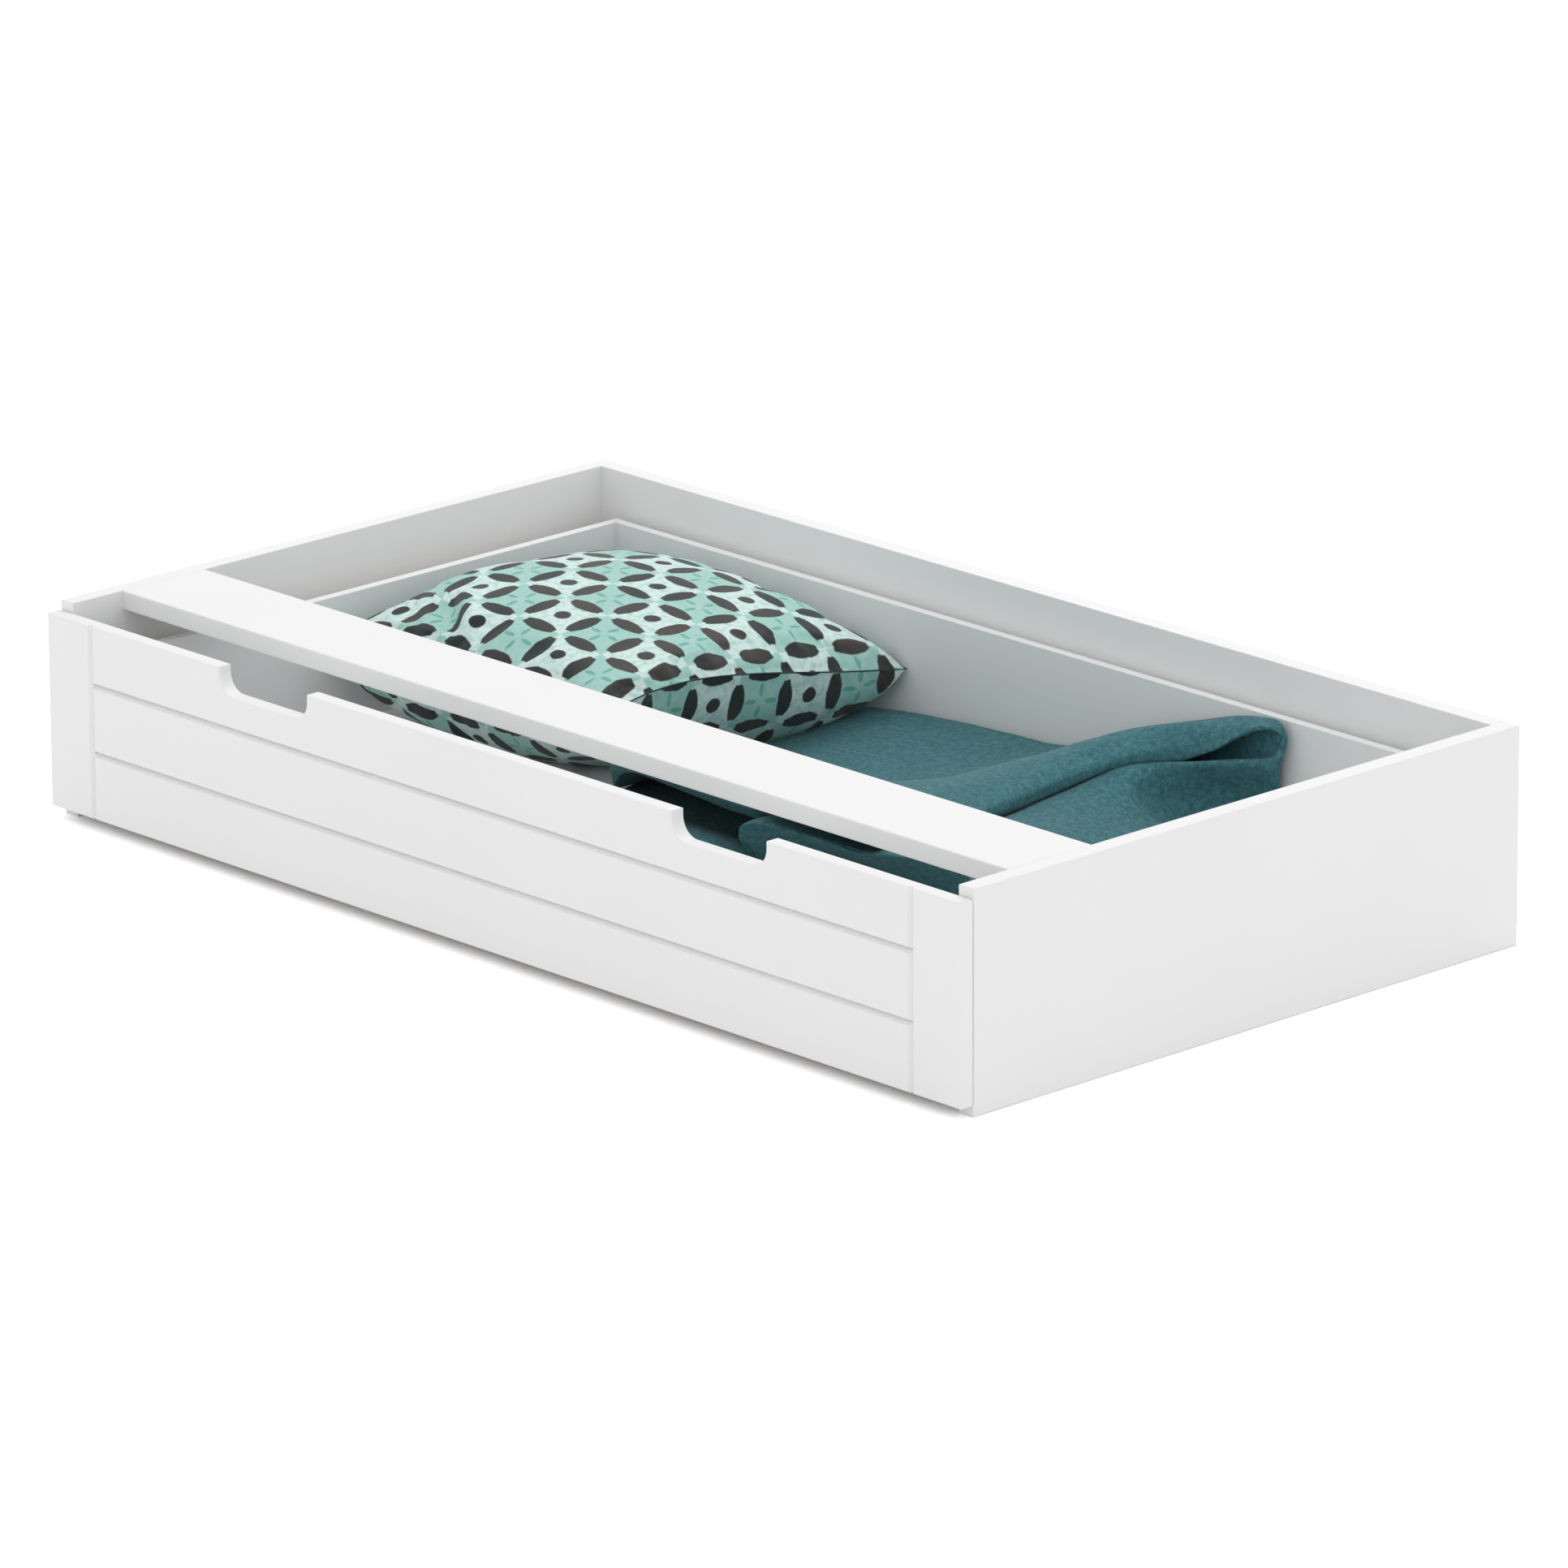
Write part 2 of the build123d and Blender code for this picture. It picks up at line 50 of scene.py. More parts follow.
# Camera at the viewing angle of the photo, a long lens from the front right
cameraView = {
    "place": (12.4640, -11.7106, 5.5287),
    "toward": (-0.694485, 0.653966, -0.300031),
    "rollDegrees": -0.276,
    "lensMm": 276.4,
    "sensorMm": 36.0,
    "reach": 200,
}
cameraData = bpy.data.cameras.new("bedCamera")
cameraData.lens = cameraView["lensMm"]
cameraData.sensor_width = cameraView["sensorMm"]
cameraData.clip_end = cameraView["reach"]
bedCamera = bpy.data.objects.new("bedCamera", cameraData)
scene.collection.objects.link(bedCamera)
aim = Vector(cameraView["toward"]).to_track_quat("-Z", "Y")
roll = Quaternion((0, 0, 1), math.radians(cameraView["rollDegrees"]))
bedCamera.rotation_mode = "QUATERNION"
bedCamera.rotation_quaternion = aim @ roll
bedCamera.location = cameraView["place"]
scene.camera = bedCamera
print("camera set")


def hexToLinear(code):  # sRGB hex to the linear values that Blender's sockets take
    parts = [int(code[i:i + 2], 16) / 255 for i in (1, 3, 5)]
    return [p / 12.92 if p <= 0.04045 else ((p + 0.055) / 1.055) ** 2.4 for p in parts] + [1.0]


# a node with its settings, values and links. On a Mix, 0 is the share, 2 and 3 are numbers, 6 and 7 are colours
def addNode(tree, kind, sockets=None, stops=None, **settings):
    node = tree.nodes.new(kind)
    for name, value in settings.items():
        setattr(node, name, value)
    for name, value in (sockets or {}).items():
        if isinstance(value, bpy.types.NodeSocket):
            tree.links.new(value, node.inputs[name])
        else:
            node.inputs[name].default_value = value
    if stops:
        ramp = node.color_ramp
        while len(ramp.elements) < len(stops):
            ramp.elements.new(0.5)
        for element, (place, code) in zip(ramp.elements, stops):
            element.position = place
            element.color = hexToLinear(code)
    return node


def startMaterial(name, **sockets):  # an empty material with its shader on the output
    material = bpy.data.materials.new(name)
    material.use_nodes = True
    tree = material.node_tree
    tree.nodes.clear()
    values = {key.replace("_", " "): value for key, value in sockets.items()}
    shader = addNode(tree, "ShaderNodeBsdfPrincipled", values)
    addNode(tree, "ShaderNodeOutputMaterial", {"Surface": shader.outputs[0]})
    return material, tree, shader


# White board: lacquer sprayed on MDF, or a pressed melamine face. Clean and even, with a slight orange peel, a haze
# that drifts over the shine, and edges that are just softened
def sprayedBoard(name, stops, gloss, peelMm, edgeMm, paintedTopLightCode=None, cloudMm=400, hazeMm=60):
    material, tree, shader = startMaterial(name, IOR=1.5)
    coords = addNode(tree, "ShaderNodeTexCoord")
    where = coords.outputs["Object"]
    cloud = addNode(tree, "ShaderNodeTexNoise", {"Vector": where, "Scale": 1 / (cloudMm * mm), "Detail": 3.0})
    tone = addNode(tree, "ShaderNodeValToRGB", {"Fac": cloud.outputs[0]}, stops=stops)
    haze = addNode(tree, "ShaderNodeTexNoise", {"Vector": where, "Scale": 1 / (hazeMm * mm), "Detail": 4.0})
    rough = addNode(tree, "ShaderNodeMapRange", {"Value": haze.outputs[0], "To Min": gloss[0], "To Max": gloss[1]})
    peel = addNode(tree, "ShaderNodeTexNoise", {"Vector": where, "Scale": 1 / (peelMm * mm), "Detail": 1.0})
    soft = addNode(tree, "ShaderNodeBevel", {"Radius": edgeMm * mm}, samples=4)
    bump = addNode(tree, "ShaderNodeBump", {"Height": peel.outputs[0], "Strength": 0.05, "Distance": 0.2 * mm,
                                            "Normal": soft.outputs[0]})
    tree.links.new(tone.outputs[0], shader.inputs["Base Color"])
    tree.links.new(rough.outputs[0], shader.inputs["Roughness"])
    tree.links.new(bump.outputs[0], shader.inputs["Normal"])
    if paintedTopLightCode:  # painted highlight: faces that point up, the top edges of the boards, are painted whiter for the light that falls on them from above
        facing = addNode(tree, "ShaderNodeVectorMath", {0: coords.outputs["Normal"], 1: (0.0, 0.0, 1.0)},
                         operation="DOT_PRODUCT")
        onTop = addNode(tree, "ShaderNodeMapRange", {"Value": facing.outputs["Value"], "From Min": 0.9,
                                                     "From Max": 0.95})
        paintedTopLight = addNode(tree, "ShaderNodeMix", {0: onTop.outputs[0], 6: tone.outputs[0], 7: hexToLinear(paintedTopLightCode)},
                       data_type="RGBA")
        tree.links.new(paintedTopLight.outputs[2], shader.inputs["Base Color"])
    return material


waveTurn = math.pi / 10  # scale at which the wave texture repeats once in a metre


# Timber: planed or turned, with growth rings and pores drawn out along the length
def planedTimber(name, stops, ringMm, along, rough, poreMm=1.5, drawnOut=0.06):
    material, tree, shader = startMaterial(name, IOR=1.5, Roughness=rough)
    where = addNode(tree, "ShaderNodeTexCoord").outputs["Object"]
    stretch = [drawnOut if axis == along else 1.0 for axis in "xyz"]
    drawn = addNode(tree, "ShaderNodeMapping", {"Vector": where, "Scale": stretch})
    rings = addNode(tree, "ShaderNodeTexWave", {"Vector": drawn.outputs[0], "Scale": waveTurn / (ringMm * mm),
                                                "Distortion": 5.0, "Detail": 3.0, "Detail Scale": 1.6},
                    wave_type="RINGS", rings_direction=along.upper())
    pores = addNode(tree, "ShaderNodeTexNoise", {"Vector": drawn.outputs[0], "Scale": 1 / (poreMm * mm), "Detail": 3.0})
    mixed = addNode(tree, "ShaderNodeMath", {0: rings.outputs[1], 1: pores.outputs[0]}, operation="ADD")
    half = addNode(tree, "ShaderNodeMath", {0: mixed.outputs[0], 1: 0.5}, operation="MULTIPLY")
    tone = addNode(tree, "ShaderNodeValToRGB", {"Fac": half.outputs[0]}, stops=stops)
    bump = addNode(tree, "ShaderNodeBump", {"Height": half.outputs[0], "Strength": 0.15, "Distance": 0.3 * mm})
    tree.links.new(tone.outputs[0], shader.inputs["Base Color"])
    tree.links.new(bump.outputs[0], shader.inputs["Normal"])
    return material


# Metal: plated or cast, with a grain that breaks up the shine. The real one is finer, drawn coarse so that it shows
def grainedMetal(name, stops, gloss, grainMm, depthMm):
    material, tree, shader = startMaterial(name, Metallic=1.0)
    where = addNode(tree, "ShaderNodeTexCoord").outputs["Object"]
    grain = addNode(tree, "ShaderNodeTexNoise", {"Vector": where, "Scale": 1 / (grainMm * mm), "Detail": 4.0})
    tone = addNode(tree, "ShaderNodeValToRGB", {"Fac": grain.outputs[0]}, stops=stops)
    rough = addNode(tree, "ShaderNodeMapRange", {"Value": grain.outputs[0], "To Min": gloss[0], "To Max": gloss[1]})
    bump = addNode(tree, "ShaderNodeBump", {"Height": grain.outputs[0], "Strength": 0.2, "Distance": depthMm * mm})
    tree.links.new(tone.outputs[0], shader.inputs["Base Color"])
    tree.links.new(rough.outputs[0], shader.inputs["Roughness"])
    tree.links.new(bump.outputs[0], shader.inputs["Normal"])
    return material


# Moulded plastic and rubber: the mould's spark-eroded grain, drawn coarse so that it shows, under a little dust
def mouldedPlastic(name, stops, gloss, grainMm, dustMm=25):
    material, tree, shader = startMaterial(name, IOR=1.46)
    where = addNode(tree, "ShaderNodeTexCoord").outputs["Object"]
    grain = addNode(tree, "ShaderNodeTexNoise", {"Vector": where, "Scale": 1 / (grainMm * mm), "Detail": 2.0})
    dust = addNode(tree, "ShaderNodeTexNoise", {"Vector": where, "Scale": 1 / (dustMm * mm), "Detail": 3.0})
    tone = addNode(tree, "ShaderNodeValToRGB", {"Fac": dust.outputs[0]}, stops=stops)
    rough = addNode(tree, "ShaderNodeMapRange", {"Value": dust.outputs[0], "To Min": gloss[0], "To Max": gloss[1]})
    bump = addNode(tree, "ShaderNodeBump", {"Height": grain.outputs[0], "Strength": 0.2, "Distance": 0.15 * mm})
    tree.links.new(tone.outputs[0], shader.inputs["Base Color"])
    tree.links.new(rough.outputs[0], shader.inputs["Roughness"])
    tree.links.new(bump.outputs[0], shader.inputs["Normal"])
    return material


finishes = {
    "white_painted_board": sprayedBoard("satinLacqueredMdf", [(0.3, "#efefef"), (0.7, "#f1f1f1")],
                                        gloss=(0.38, 0.48), peelMm=5, edgeMm=1.2),
    # the box boards carry a painted highlight: their faces that point up are painted whiter
    "white_box_board": sprayedBoard("whiteMelamineBoard", [(0.3, "#e9eaea"), (0.7, "#eceded")],
                                    gloss=(0.42, 0.52), peelMm=7, edgeMm=0.6, paintedTopLightCode="#f3f3f3"),
    "beech_dowels": planedTimber("turnedBeech", [(0.2, "#b98b5f"), (0.6, "#d0a77b"), (0.9, "#dab68d")],
                                 ringMm=2, along="y", rough=0.55),
    "zinc_steel": grainedMetal("zincPlatedSteel", [(0.3, "#b9bcc0"), (0.7, "#d2d5d6")],
                               gloss=(0.24, 0.4), grainMm=2.5, depthMm=0.05),
    "zinc_cams": grainedMetal("dieCastZinc", [(0.3, "#8f9192"), (0.7, "#a9abac")],
                              gloss=(0.42, 0.6), grainMm=1.2, depthMm=0.1),
    "wheel_plastic": mouldedPlastic("mouldedNylon", [(0.3, "#1c1d1e"), (0.7, "#2a2b2c")],
                                    gloss=(0.4, 0.55), grainMm=1.0),
    "bumper_rubber": mouldedPlastic("softPolyurethane", [(0.3, "#d5d6d4"), (0.7, "#e2e3e1")],
                                    gloss=(0.25, 0.35), grainMm=2.0),
}
# the drawer bottom is thinner faced board, a little greyer than the sides
hardboard = sprayedBoard("whiteFacedHardboard", [(0.3, "#e0e1e1"), (0.7, "#e4e5e5")],
                         gloss=(0.5, 0.6), peelMm=7, edgeMm=0.6)
pineStops = [(0.2, "#c79a62"), (0.5, "#dcb883"), (0.8, "#e7cb9d")]
pineAlong = {axis: planedTimber("planedPineAlong" + axis.upper(), pineStops, ringMm=6, along=axis, rough=0.62)
             for axis in "xy"}
slotOf = {row["node"]: row["material_slot"] for row in frame["record"]["subparts"]}
for name, thing in nodes.items():
    finish = finishes.get(slotOf[name])
    if slotOf[name] == "pine_battens":  # the grain runs the long way of each batten
        finish = pineAlong["x" if thing.dimensions.x > thing.dimensions.y else "y"]
    elif name.startswith("bottom_panel"):
        finish = hardboard
    if finish:
        thing.data.materials.clear()
        thing.data.materials.append(finish)
print("boards, timber and fittings finished")


def meshPiece(name, points, faces, material, smooth=True):
    mesh = bpy.data.meshes.new(name)
    mesh.from_pydata([tuple(p) for p in points], [], faces)
    mesh.update()
    if smooth:
        mesh.shade_smooth()
    mesh.materials.append(material)
    piece = bpy.data.objects.new(name, mesh)
    scene.collection.objects.link(piece)
    return piece


# Pillow case: plain woven cotton, screen printed with a lattice of overlapping circles
printedCotton = {
    "circleMm": 96,  # spacing of the circles
    "petal": 0.655,  # radius that a dark petal keeps, of the spacing
    "gap": 0.17,  # bare round at each crossing, of the spacing
    "dot": 0.14,  # radius of the dot in each pale circle, of the spacing
    "leafAt": 0.20, "leafSlim": (8.5, 22.0),  # small leaves in the mint circles: how far out, and how slim
    "inkEdge": 0.012, "leafEdge": (1.1, 0.85),  # how soft the ink ends
    "wobble": 0.05, "wobbleMm": 20, "washMm": 12, "tintMm": 160,  # unsteady hand, uneven dye and drifting ink
    "threadMm": 4.5,  # the real thread is about 0.4 mm, drawn coarse so that it shows
    "ground": "#a9d2ca", "groundDeep": "#98c9bf", "pale": "#d6eae6", "leaf": "#79b7ab", "leafDeep": "#5aa897",
    "petalDark": "#182624", "petalBrown": "#3d3835",
}


def printedCottonMaterial(look):
    material, tree, shader = startMaterial("screenPrintedCotton", Roughness=0.85, IOR=1.45, Sheen_Weight=0.15,
                                           Sheen_Roughness=0.5)
    cloth = addNode(tree, "ShaderNodeUVMap", uv_map="cloth").outputs[0]
    size = 1 / (look["circleMm"] * mm)
    edge, leafAt, (long, slim) = look["inkEdge"], look["leafAt"], look["leafSlim"]
    spaced = addNode(tree, "ShaderNodeMapping", {"Vector": cloth, "Scale": (size, size, size)})
    wobble = addNode(tree, "ShaderNodeTexNoise", {"Vector": cloth, "Scale": 1 / (look["wobbleMm"] * mm), "Detail": 2.0})
    shift = addNode(tree, "ShaderNodeVectorMath", {0: wobble.outputs[1], 1: (look["wobble"], look["wobble"], 0.0)},
                    operation="MULTIPLY")
    drawn = addNode(tree, "ShaderNodeVectorMath", {0: spaced.outputs[0], 1: shift.outputs[0]}, operation="ADD")
    cell = addNode(tree, "ShaderNodeVectorMath", {0: drawn.outputs[0]}, operation="FRACTION")
    middle = addNode(tree, "ShaderNodeVectorMath", {0: cell.outputs[0], 1: (0.5, 0.5, 0.0)}, operation="SUBTRACT")
    fold = addNode(tree, "ShaderNodeVectorMath", {0: middle.outputs[0]}, operation="ABSOLUTE")
    flat = addNode(tree, "ShaderNodeVectorMath", {0: fold.outputs[0], 1: (1.0, 1.0, 0.0)}, operation="MULTIPLY")
    across = addNode(tree, "ShaderNodeVectorMath", {0: flat.outputs[0], 1: (1.0, 0.0, 0.0)}, operation="DISTANCE")
    upward = addNode(tree, "ShaderNodeVectorMath", {0: flat.outputs[0], 1: (0.0, 1.0, 0.0)}, operation="DISTANCE")
    near = addNode(tree, "ShaderNodeMath", {0: across.outputs[1], 1: upward.outputs[1]}, operation="MINIMUM")
    lens = addNode(tree, "ShaderNodeMapRange", {"Value": near.outputs[0], "From Min": look["petal"] + edge,
                                                "From Max": look["petal"] - edge})
    crossing = addNode(tree, "ShaderNodeVectorMath", {0: flat.outputs[0], 1: (0.5, 0.5, 0.0)}, operation="DISTANCE")
    ends = addNode(tree, "ShaderNodeMapRange", {"Value": crossing.outputs[1], "From Min": look["gap"] - edge,
                                                "From Max": look["gap"] + edge})
    petal = addNode(tree, "ShaderNodeMath", {0: lens.outputs[0], 1: ends.outputs[0]}, operation="MULTIPLY")
    outToLeaf = []
    for place, shape in (((leafAt, 0.0, 0.0), (long, slim, 0.0)), ((0.0, leafAt, 0.0), (slim, long, 0.0))):
        fromLeaf = addNode(tree, "ShaderNodeVectorMath", {0: flat.outputs[0], 1: place}, operation="SUBTRACT")
        squeezed = addNode(tree, "ShaderNodeVectorMath", {0: fromLeaf.outputs[0], 1: shape}, operation="MULTIPLY")
        outToLeaf.append(addNode(tree, "ShaderNodeVectorMath", {0: squeezed.outputs[0]}, operation="LENGTH").outputs[1])
    leafNear = addNode(tree, "ShaderNodeMath", {0: outToLeaf[0], 1: outToLeaf[1]}, operation="MINIMUM")
    leaf = addNode(tree, "ShaderNodeMapRange", {"Value": leafNear.outputs[0], "From Min": look["leafEdge"][0],
                                                "From Max": look["leafEdge"][1]})
    checker = addNode(tree, "ShaderNodeTexChecker", {"Vector": drawn.outputs[0], "Scale": 1.0})
    leafInMint = addNode(tree, "ShaderNodeMath", {0: leaf.outputs[0], 1: checker.outputs[1]}, operation="MULTIPLY")
    out = addNode(tree, "ShaderNodeVectorMath", {0: flat.outputs[0]}, operation="LENGTH")
    dot = addNode(tree, "ShaderNodeMapRange", {"Value": out.outputs[1], "From Min": look["dot"] + edge,
                                               "From Max": look["dot"] - edge})
    dotInPale = addNode(tree, "ShaderNodeMath", {0: dot.outputs[0], 1: checker.outputs[1]}, operation="SUBTRACT",
                        use_clamp=True)
    printed = addNode(tree, "ShaderNodeMath", {0: petal.outputs[0], 1: dotInPale.outputs[0]}, operation="MAXIMUM")
    wash = addNode(tree, "ShaderNodeTexNoise", {"Vector": cloth, "Scale": 1 / (look["washMm"] * mm), "Detail": 4.0})
    pale = addNode(tree, "ShaderNodeValToRGB", {"Fac": wash.outputs[0]},
                   stops=[(0.3, look["ground"]), (0.55, look["pale"])])
    mint = addNode(tree, "ShaderNodeValToRGB", {"Fac": wash.outputs[0]},
                   stops=[(0.25, look["groundDeep"]), (0.7, look["ground"])])
    base = addNode(tree, "ShaderNodeMix", {0: checker.outputs[1], 6: pale.outputs[0], 7: mint.outputs[0]},
                   data_type="RGBA")
    green = addNode(tree, "ShaderNodeValToRGB", {"Fac": wash.outputs[0]},
                    stops=[(0.2, look["leafDeep"]), (0.7, look["leaf"])])
    leaved = addNode(tree, "ShaderNodeMix", {0: leafInMint.outputs[0], 6: base.outputs[2], 7: green.outputs[0]},
                     data_type="RGBA")
    tint = addNode(tree, "ShaderNodeTexNoise", {"Vector": cloth, "Scale": 1 / (look["tintMm"] * mm), "Detail": 1.0})
    dark = addNode(tree, "ShaderNodeValToRGB", {"Fac": tint.outputs[0]},
                   stops=[(0.42, look["petalDark"]), (0.62, look["petalBrown"])])
    inked = addNode(tree, "ShaderNodeMix", {0: printed.outputs[0], 6: leaved.outputs[2], 7: dark.outputs[0]},
                    data_type="RGBA")
    thread = waveTurn / (look["threadMm"] * mm)
    warp, weft = (addNode(tree, "ShaderNodeTexWave", {"Vector": cloth, "Scale": thread, "Distortion": 0.6},
                          bands_direction=way) for way in "XY")
    weave = addNode(tree, "ShaderNodeMath", {0: warp.outputs[1], 1: weft.outputs[1]}, operation="MULTIPLY")
    bump = addNode(tree, "ShaderNodeBump", {"Height": weave.outputs[0], "Strength": 0.12, "Distance": 0.4 * mm})
    tree.links.new(inked.outputs[2], shader.inputs["Base Color"])
    tree.links.new(bump.outputs[0], shader.inputs["Normal"])
    return material


# Pillow: a square case sewn from two flat squares, leaning to the back left, flat where it lies on the drawer bottom
pillowShape = {
    "middle": (-550.5, 192.5, 216.9), "halfWidth": 308.1, "halfDepth": 311.0,
    "crown": 86.5, "belly": 222.1, "turn": -0.024, "riseRight": 0.013, "riseBack": -0.05,
    "cornerDrop": 33.0, "cornerEar": 0.016, "fullness": 0.359, "drawnIn": 0.055, "leanLeft": -0.311, "leanBack": 0.236,
    "restZ": 62.6, "backLimit": 504.0, "cells": 120,
    # small gathers that run in from the seam
    "gathers": 7, "gatherPitch": (9, 22), "gatherReach": 0.11, "gatherMm": 0.6,
    "rightSeam": ((1, 0), (0.85, -4), (0.5, -8.5), (0.25, -5), (-0.05, 7), (-0.35, 14), (-1, 11)),
    # folds in the top, each from and to as shares of the half sides, depth and how far the low side reaches
    "folds": (((-0.08, -0.98), (-0.60, -0.56), 27, 55), ((-0.40, -0.96), (-0.76, -0.66), 9, 45)),
    "foldSoftMm": 4, "foldRidge": 0.35, "foldRidgeMm": 40,  # how soft a fold is, and the ridge on its high side
    "leftLift": 22.0, "liftAt": -0.33, "liftWide": 0.32,  # the stuffing stands higher along the left side, to the front
}


def pillowGrid(shape):
    steps = np.sin(np.linspace(-1, 1, shape["cells"] + 1) * math.pi / 2)
    u, v = np.meshgrid(steps, steps, indexing="ij")
    ear = 1 + shape["cornerEar"] * (u * v) ** 12
    across = shape["halfWidth"] * u * (1 - shape["drawnIn"] * (1 - v * v)) * ear
    back = shape["halfDepth"] * v * (1 - shape["drawnIn"] * (1 - u * u)) * ear
    us = u - shape["leanLeft"] * (1 - u * u)
    vs = v - shape["leanBack"] * (1 - v * v)
    full = np.clip((1 - us * us) * (1 - vs * vs), 0, 1) ** shape["fullness"]
    c, s = math.cos(shape["turn"]), math.sin(shape["turn"])
    x = shape["middle"][0] + c * across - s * back
    y = np.minimum(shape["middle"][1] + s * across + c * back, shape["backLimit"])
    seam = (shape["middle"][2] + shape["riseRight"] * across + shape["riseBack"] * back
            - shape["cornerDrop"] * u * u * v * v)
    where, lift = np.array(shape["rightSeam"]).T  # the right hand seam sags to the back and rises to the front
    seam += np.polyval(np.polyfit(where, lift, 4), v) * np.maximum(u, 0) ** 4
    rng = np.random.default_rng(7)
    pucker = np.zeros_like(u)
    for along, toEdge in ((u, 1 - np.abs(v)), (v, 1 - np.abs(u))):
        for _ in range(shape["gathers"]):
            pitch, phase, weight = rng.uniform(*shape["gatherPitch"]), rng.uniform(0, 6.3), rng.uniform(0.4, 1.0)
            fade = toEdge * np.exp(-toEdge / shape["gatherReach"]) / 0.04  # about 1 where it is highest
            pucker += weight * np.sin(pitch * along + phase) * fade
    top = seam + shape["crown"] * full + shape["gatherMm"] * pucker
    forward = np.exp(-((v - shape["liftAt"]) / shape["liftWide"]) ** 2)
    top += shape["leftLift"] * full * np.maximum(-u, 0) ** 3 * forward
    for (u0, v0), (u1, v1), depth, reach in shape["folds"]:  # the cloth drops on the front left side of each fold
        start = np.array([u0 * shape["halfWidth"], v0 * shape["halfDepth"]])
        run = np.array([u1 * shape["halfWidth"], v1 * shape["halfDepth"]]) - start
        length = np.hypot(*run)
        px, py = u * shape["halfWidth"] - start[0], v * shape["halfDepth"] - start[1]
        along = (px * run[0] + py * run[1]) / length ** 2
        aside = (-px * run[1] + py * run[0]) / length
        fade = np.clip(1 - (2 * along - 1) ** 4, 0, 1) * (along > 0) * (along < 1) * np.minimum(1, full * 1.6)
        step = 1 / (1 + np.exp(-np.clip(aside / shape["foldSoftMm"], -30, 30)))
        low = step * np.exp(-np.maximum(aside, 0) / reach)
        high = shape["foldRidge"] * np.exp(-(np.minimum(aside, 0) / shape["foldRidgeMm"]) ** 2) * (aside <= 0)
        top += depth * fade * (high - low)
    under = np.maximum(seam - shape["belly"] * full + shape["gatherMm"] * pucker, shape["restZ"])
    return np.stack([x, y, top], -1), np.stack([x, y, under], -1)


def clothLengths(grid):  # lengths along the cloth from its middle, so that the print isn't stretched
    n = grid.shape[0]
    lengths = []
    for axis in (0, 1):
        run = np.concatenate([np.zeros_like(np.take(grid, [0], axis)[..., 0]),
                              np.cumsum(np.linalg.norm(np.diff(grid, axis=axis), axis=-1), axis)], axis)
        lengths.append(run - np.take(run, [n // 2], axis))
    return np.stack(lengths, -1)


def makePillow(shape, material):
    top, under = pillowGrid(shape)
    n = top.shape[0]
    topIds = np.arange(n * n).reshape(n, n)
    underIds = topIds.copy()
    inner = np.zeros((n, n), bool)
    inner[1:-1, 1:-1] = True
    underIds[inner] = n * n + np.arange(inner.sum())
    points = np.concatenate([top.reshape(-1, 3), under[inner]]) * mm
    faces, cloth = [], []
    for ids, grid, order in ((topIds, top, 1), (underIds, under, -1)):
        flat = clothLengths(grid) * mm
        for i in range(n - 1):
            for j in range(n - 1):
                corners = [(i, j), (i + 1, j), (i + 1, j + 1), (i, j + 1)][::order]
                faces.append([int(ids[c]) for c in corners])
                cloth.extend(flat[c] for c in corners)
    pillow = meshPiece("stuffed_pillow", points, faces, material)
    layer = pillow.data.uv_layers.new(name="cloth")
    layer.data.foreach_set("uv", np.array(cloth, np.float32).ravel())
    ring = np.concatenate([topIds[:-1, 0], topIds[-1, :-1], topIds[:0:-1, -1], topIds[0, :0:-1]])
    sewn = {frozenset((int(a), int(b))) for a, b in zip(ring, np.roll(ring, -1))}
    sharp = pillow.data.attributes.new("crease_edge", "FLOAT", "EDGE")  # the seam and its corners stay crisp
    sharp.data.foreach_set("value", [float(frozenset(e.vertices) in sewn) for e in pillow.data.edges])
    tips = pillow.data.attributes.new("crease_vert", "FLOAT", "POINT")
    corners = {int(topIds[i, j]) for i in (0, -1) for j in (0, -1)}
    tips.data.foreach_set("value", [float(v.index in corners) for v in pillow.data.vertices])
    return pillow, ring


# Stuffing: polyester fibre that presses the case out from inside
stuffing = {"quality": 5, "mass": 0.15, "pressure": 4.0, "shrink": -0.035, "steps": 16, "capMm": 6.0}


def swell(piece, held, filling, floorZ):  # lets the stuffing press the case out, then caps how far it may move
    start = np.array([v.co for v in piece.data.vertices])
    group = piece.vertex_groups.new(name="seam")
    group.add([int(i) for i in held], 1.0, "REPLACE")
    cloth = piece.modifiers.new("swell", "CLOTH")
    cloth.settings.quality = filling["quality"]
    cloth.settings.mass = filling["mass"]
    cloth.settings.use_pressure = True
    cloth.settings.uniform_pressure_force = filling["pressure"]
    cloth.settings.shrink_min = filling["shrink"]
    cloth.settings.vertex_group_mass = "seam"
    cloth.settings.effector_weights.gravity = 0
    cloth.collision_settings.use_collision = False
    for step in range(1, filling["steps"] + 1):
        scene.frame_set(step)
    shown = piece.evaluated_get(bpy.context.evaluated_depsgraph_get())
    moved = np.array([v.co for v in shown.data.vertices]) - start
    piece.modifiers.remove(cloth)
    piece.vertex_groups.remove(group)
    scene.frame_set(1)
    far = np.linalg.norm(moved, axis=1, keepdims=True)
    limit = filling["capMm"] * mm
    end = start + moved * np.minimum(1, limit / np.maximum(far, 1e-9))
    end[:, 2] = np.maximum(end[:, 2], floorZ)
    piece.data.vertices.foreach_set("co", end.astype(np.float32).ravel())
    piece.data.update()
    print("pillow swelled, mean move mm:", round(float(far.mean() / mm), 1))


def subdivide(piece, levels=1):
    smooth = piece.modifiers.new("fine", "SUBSURF")
    smooth.levels = smooth.render_levels = levels


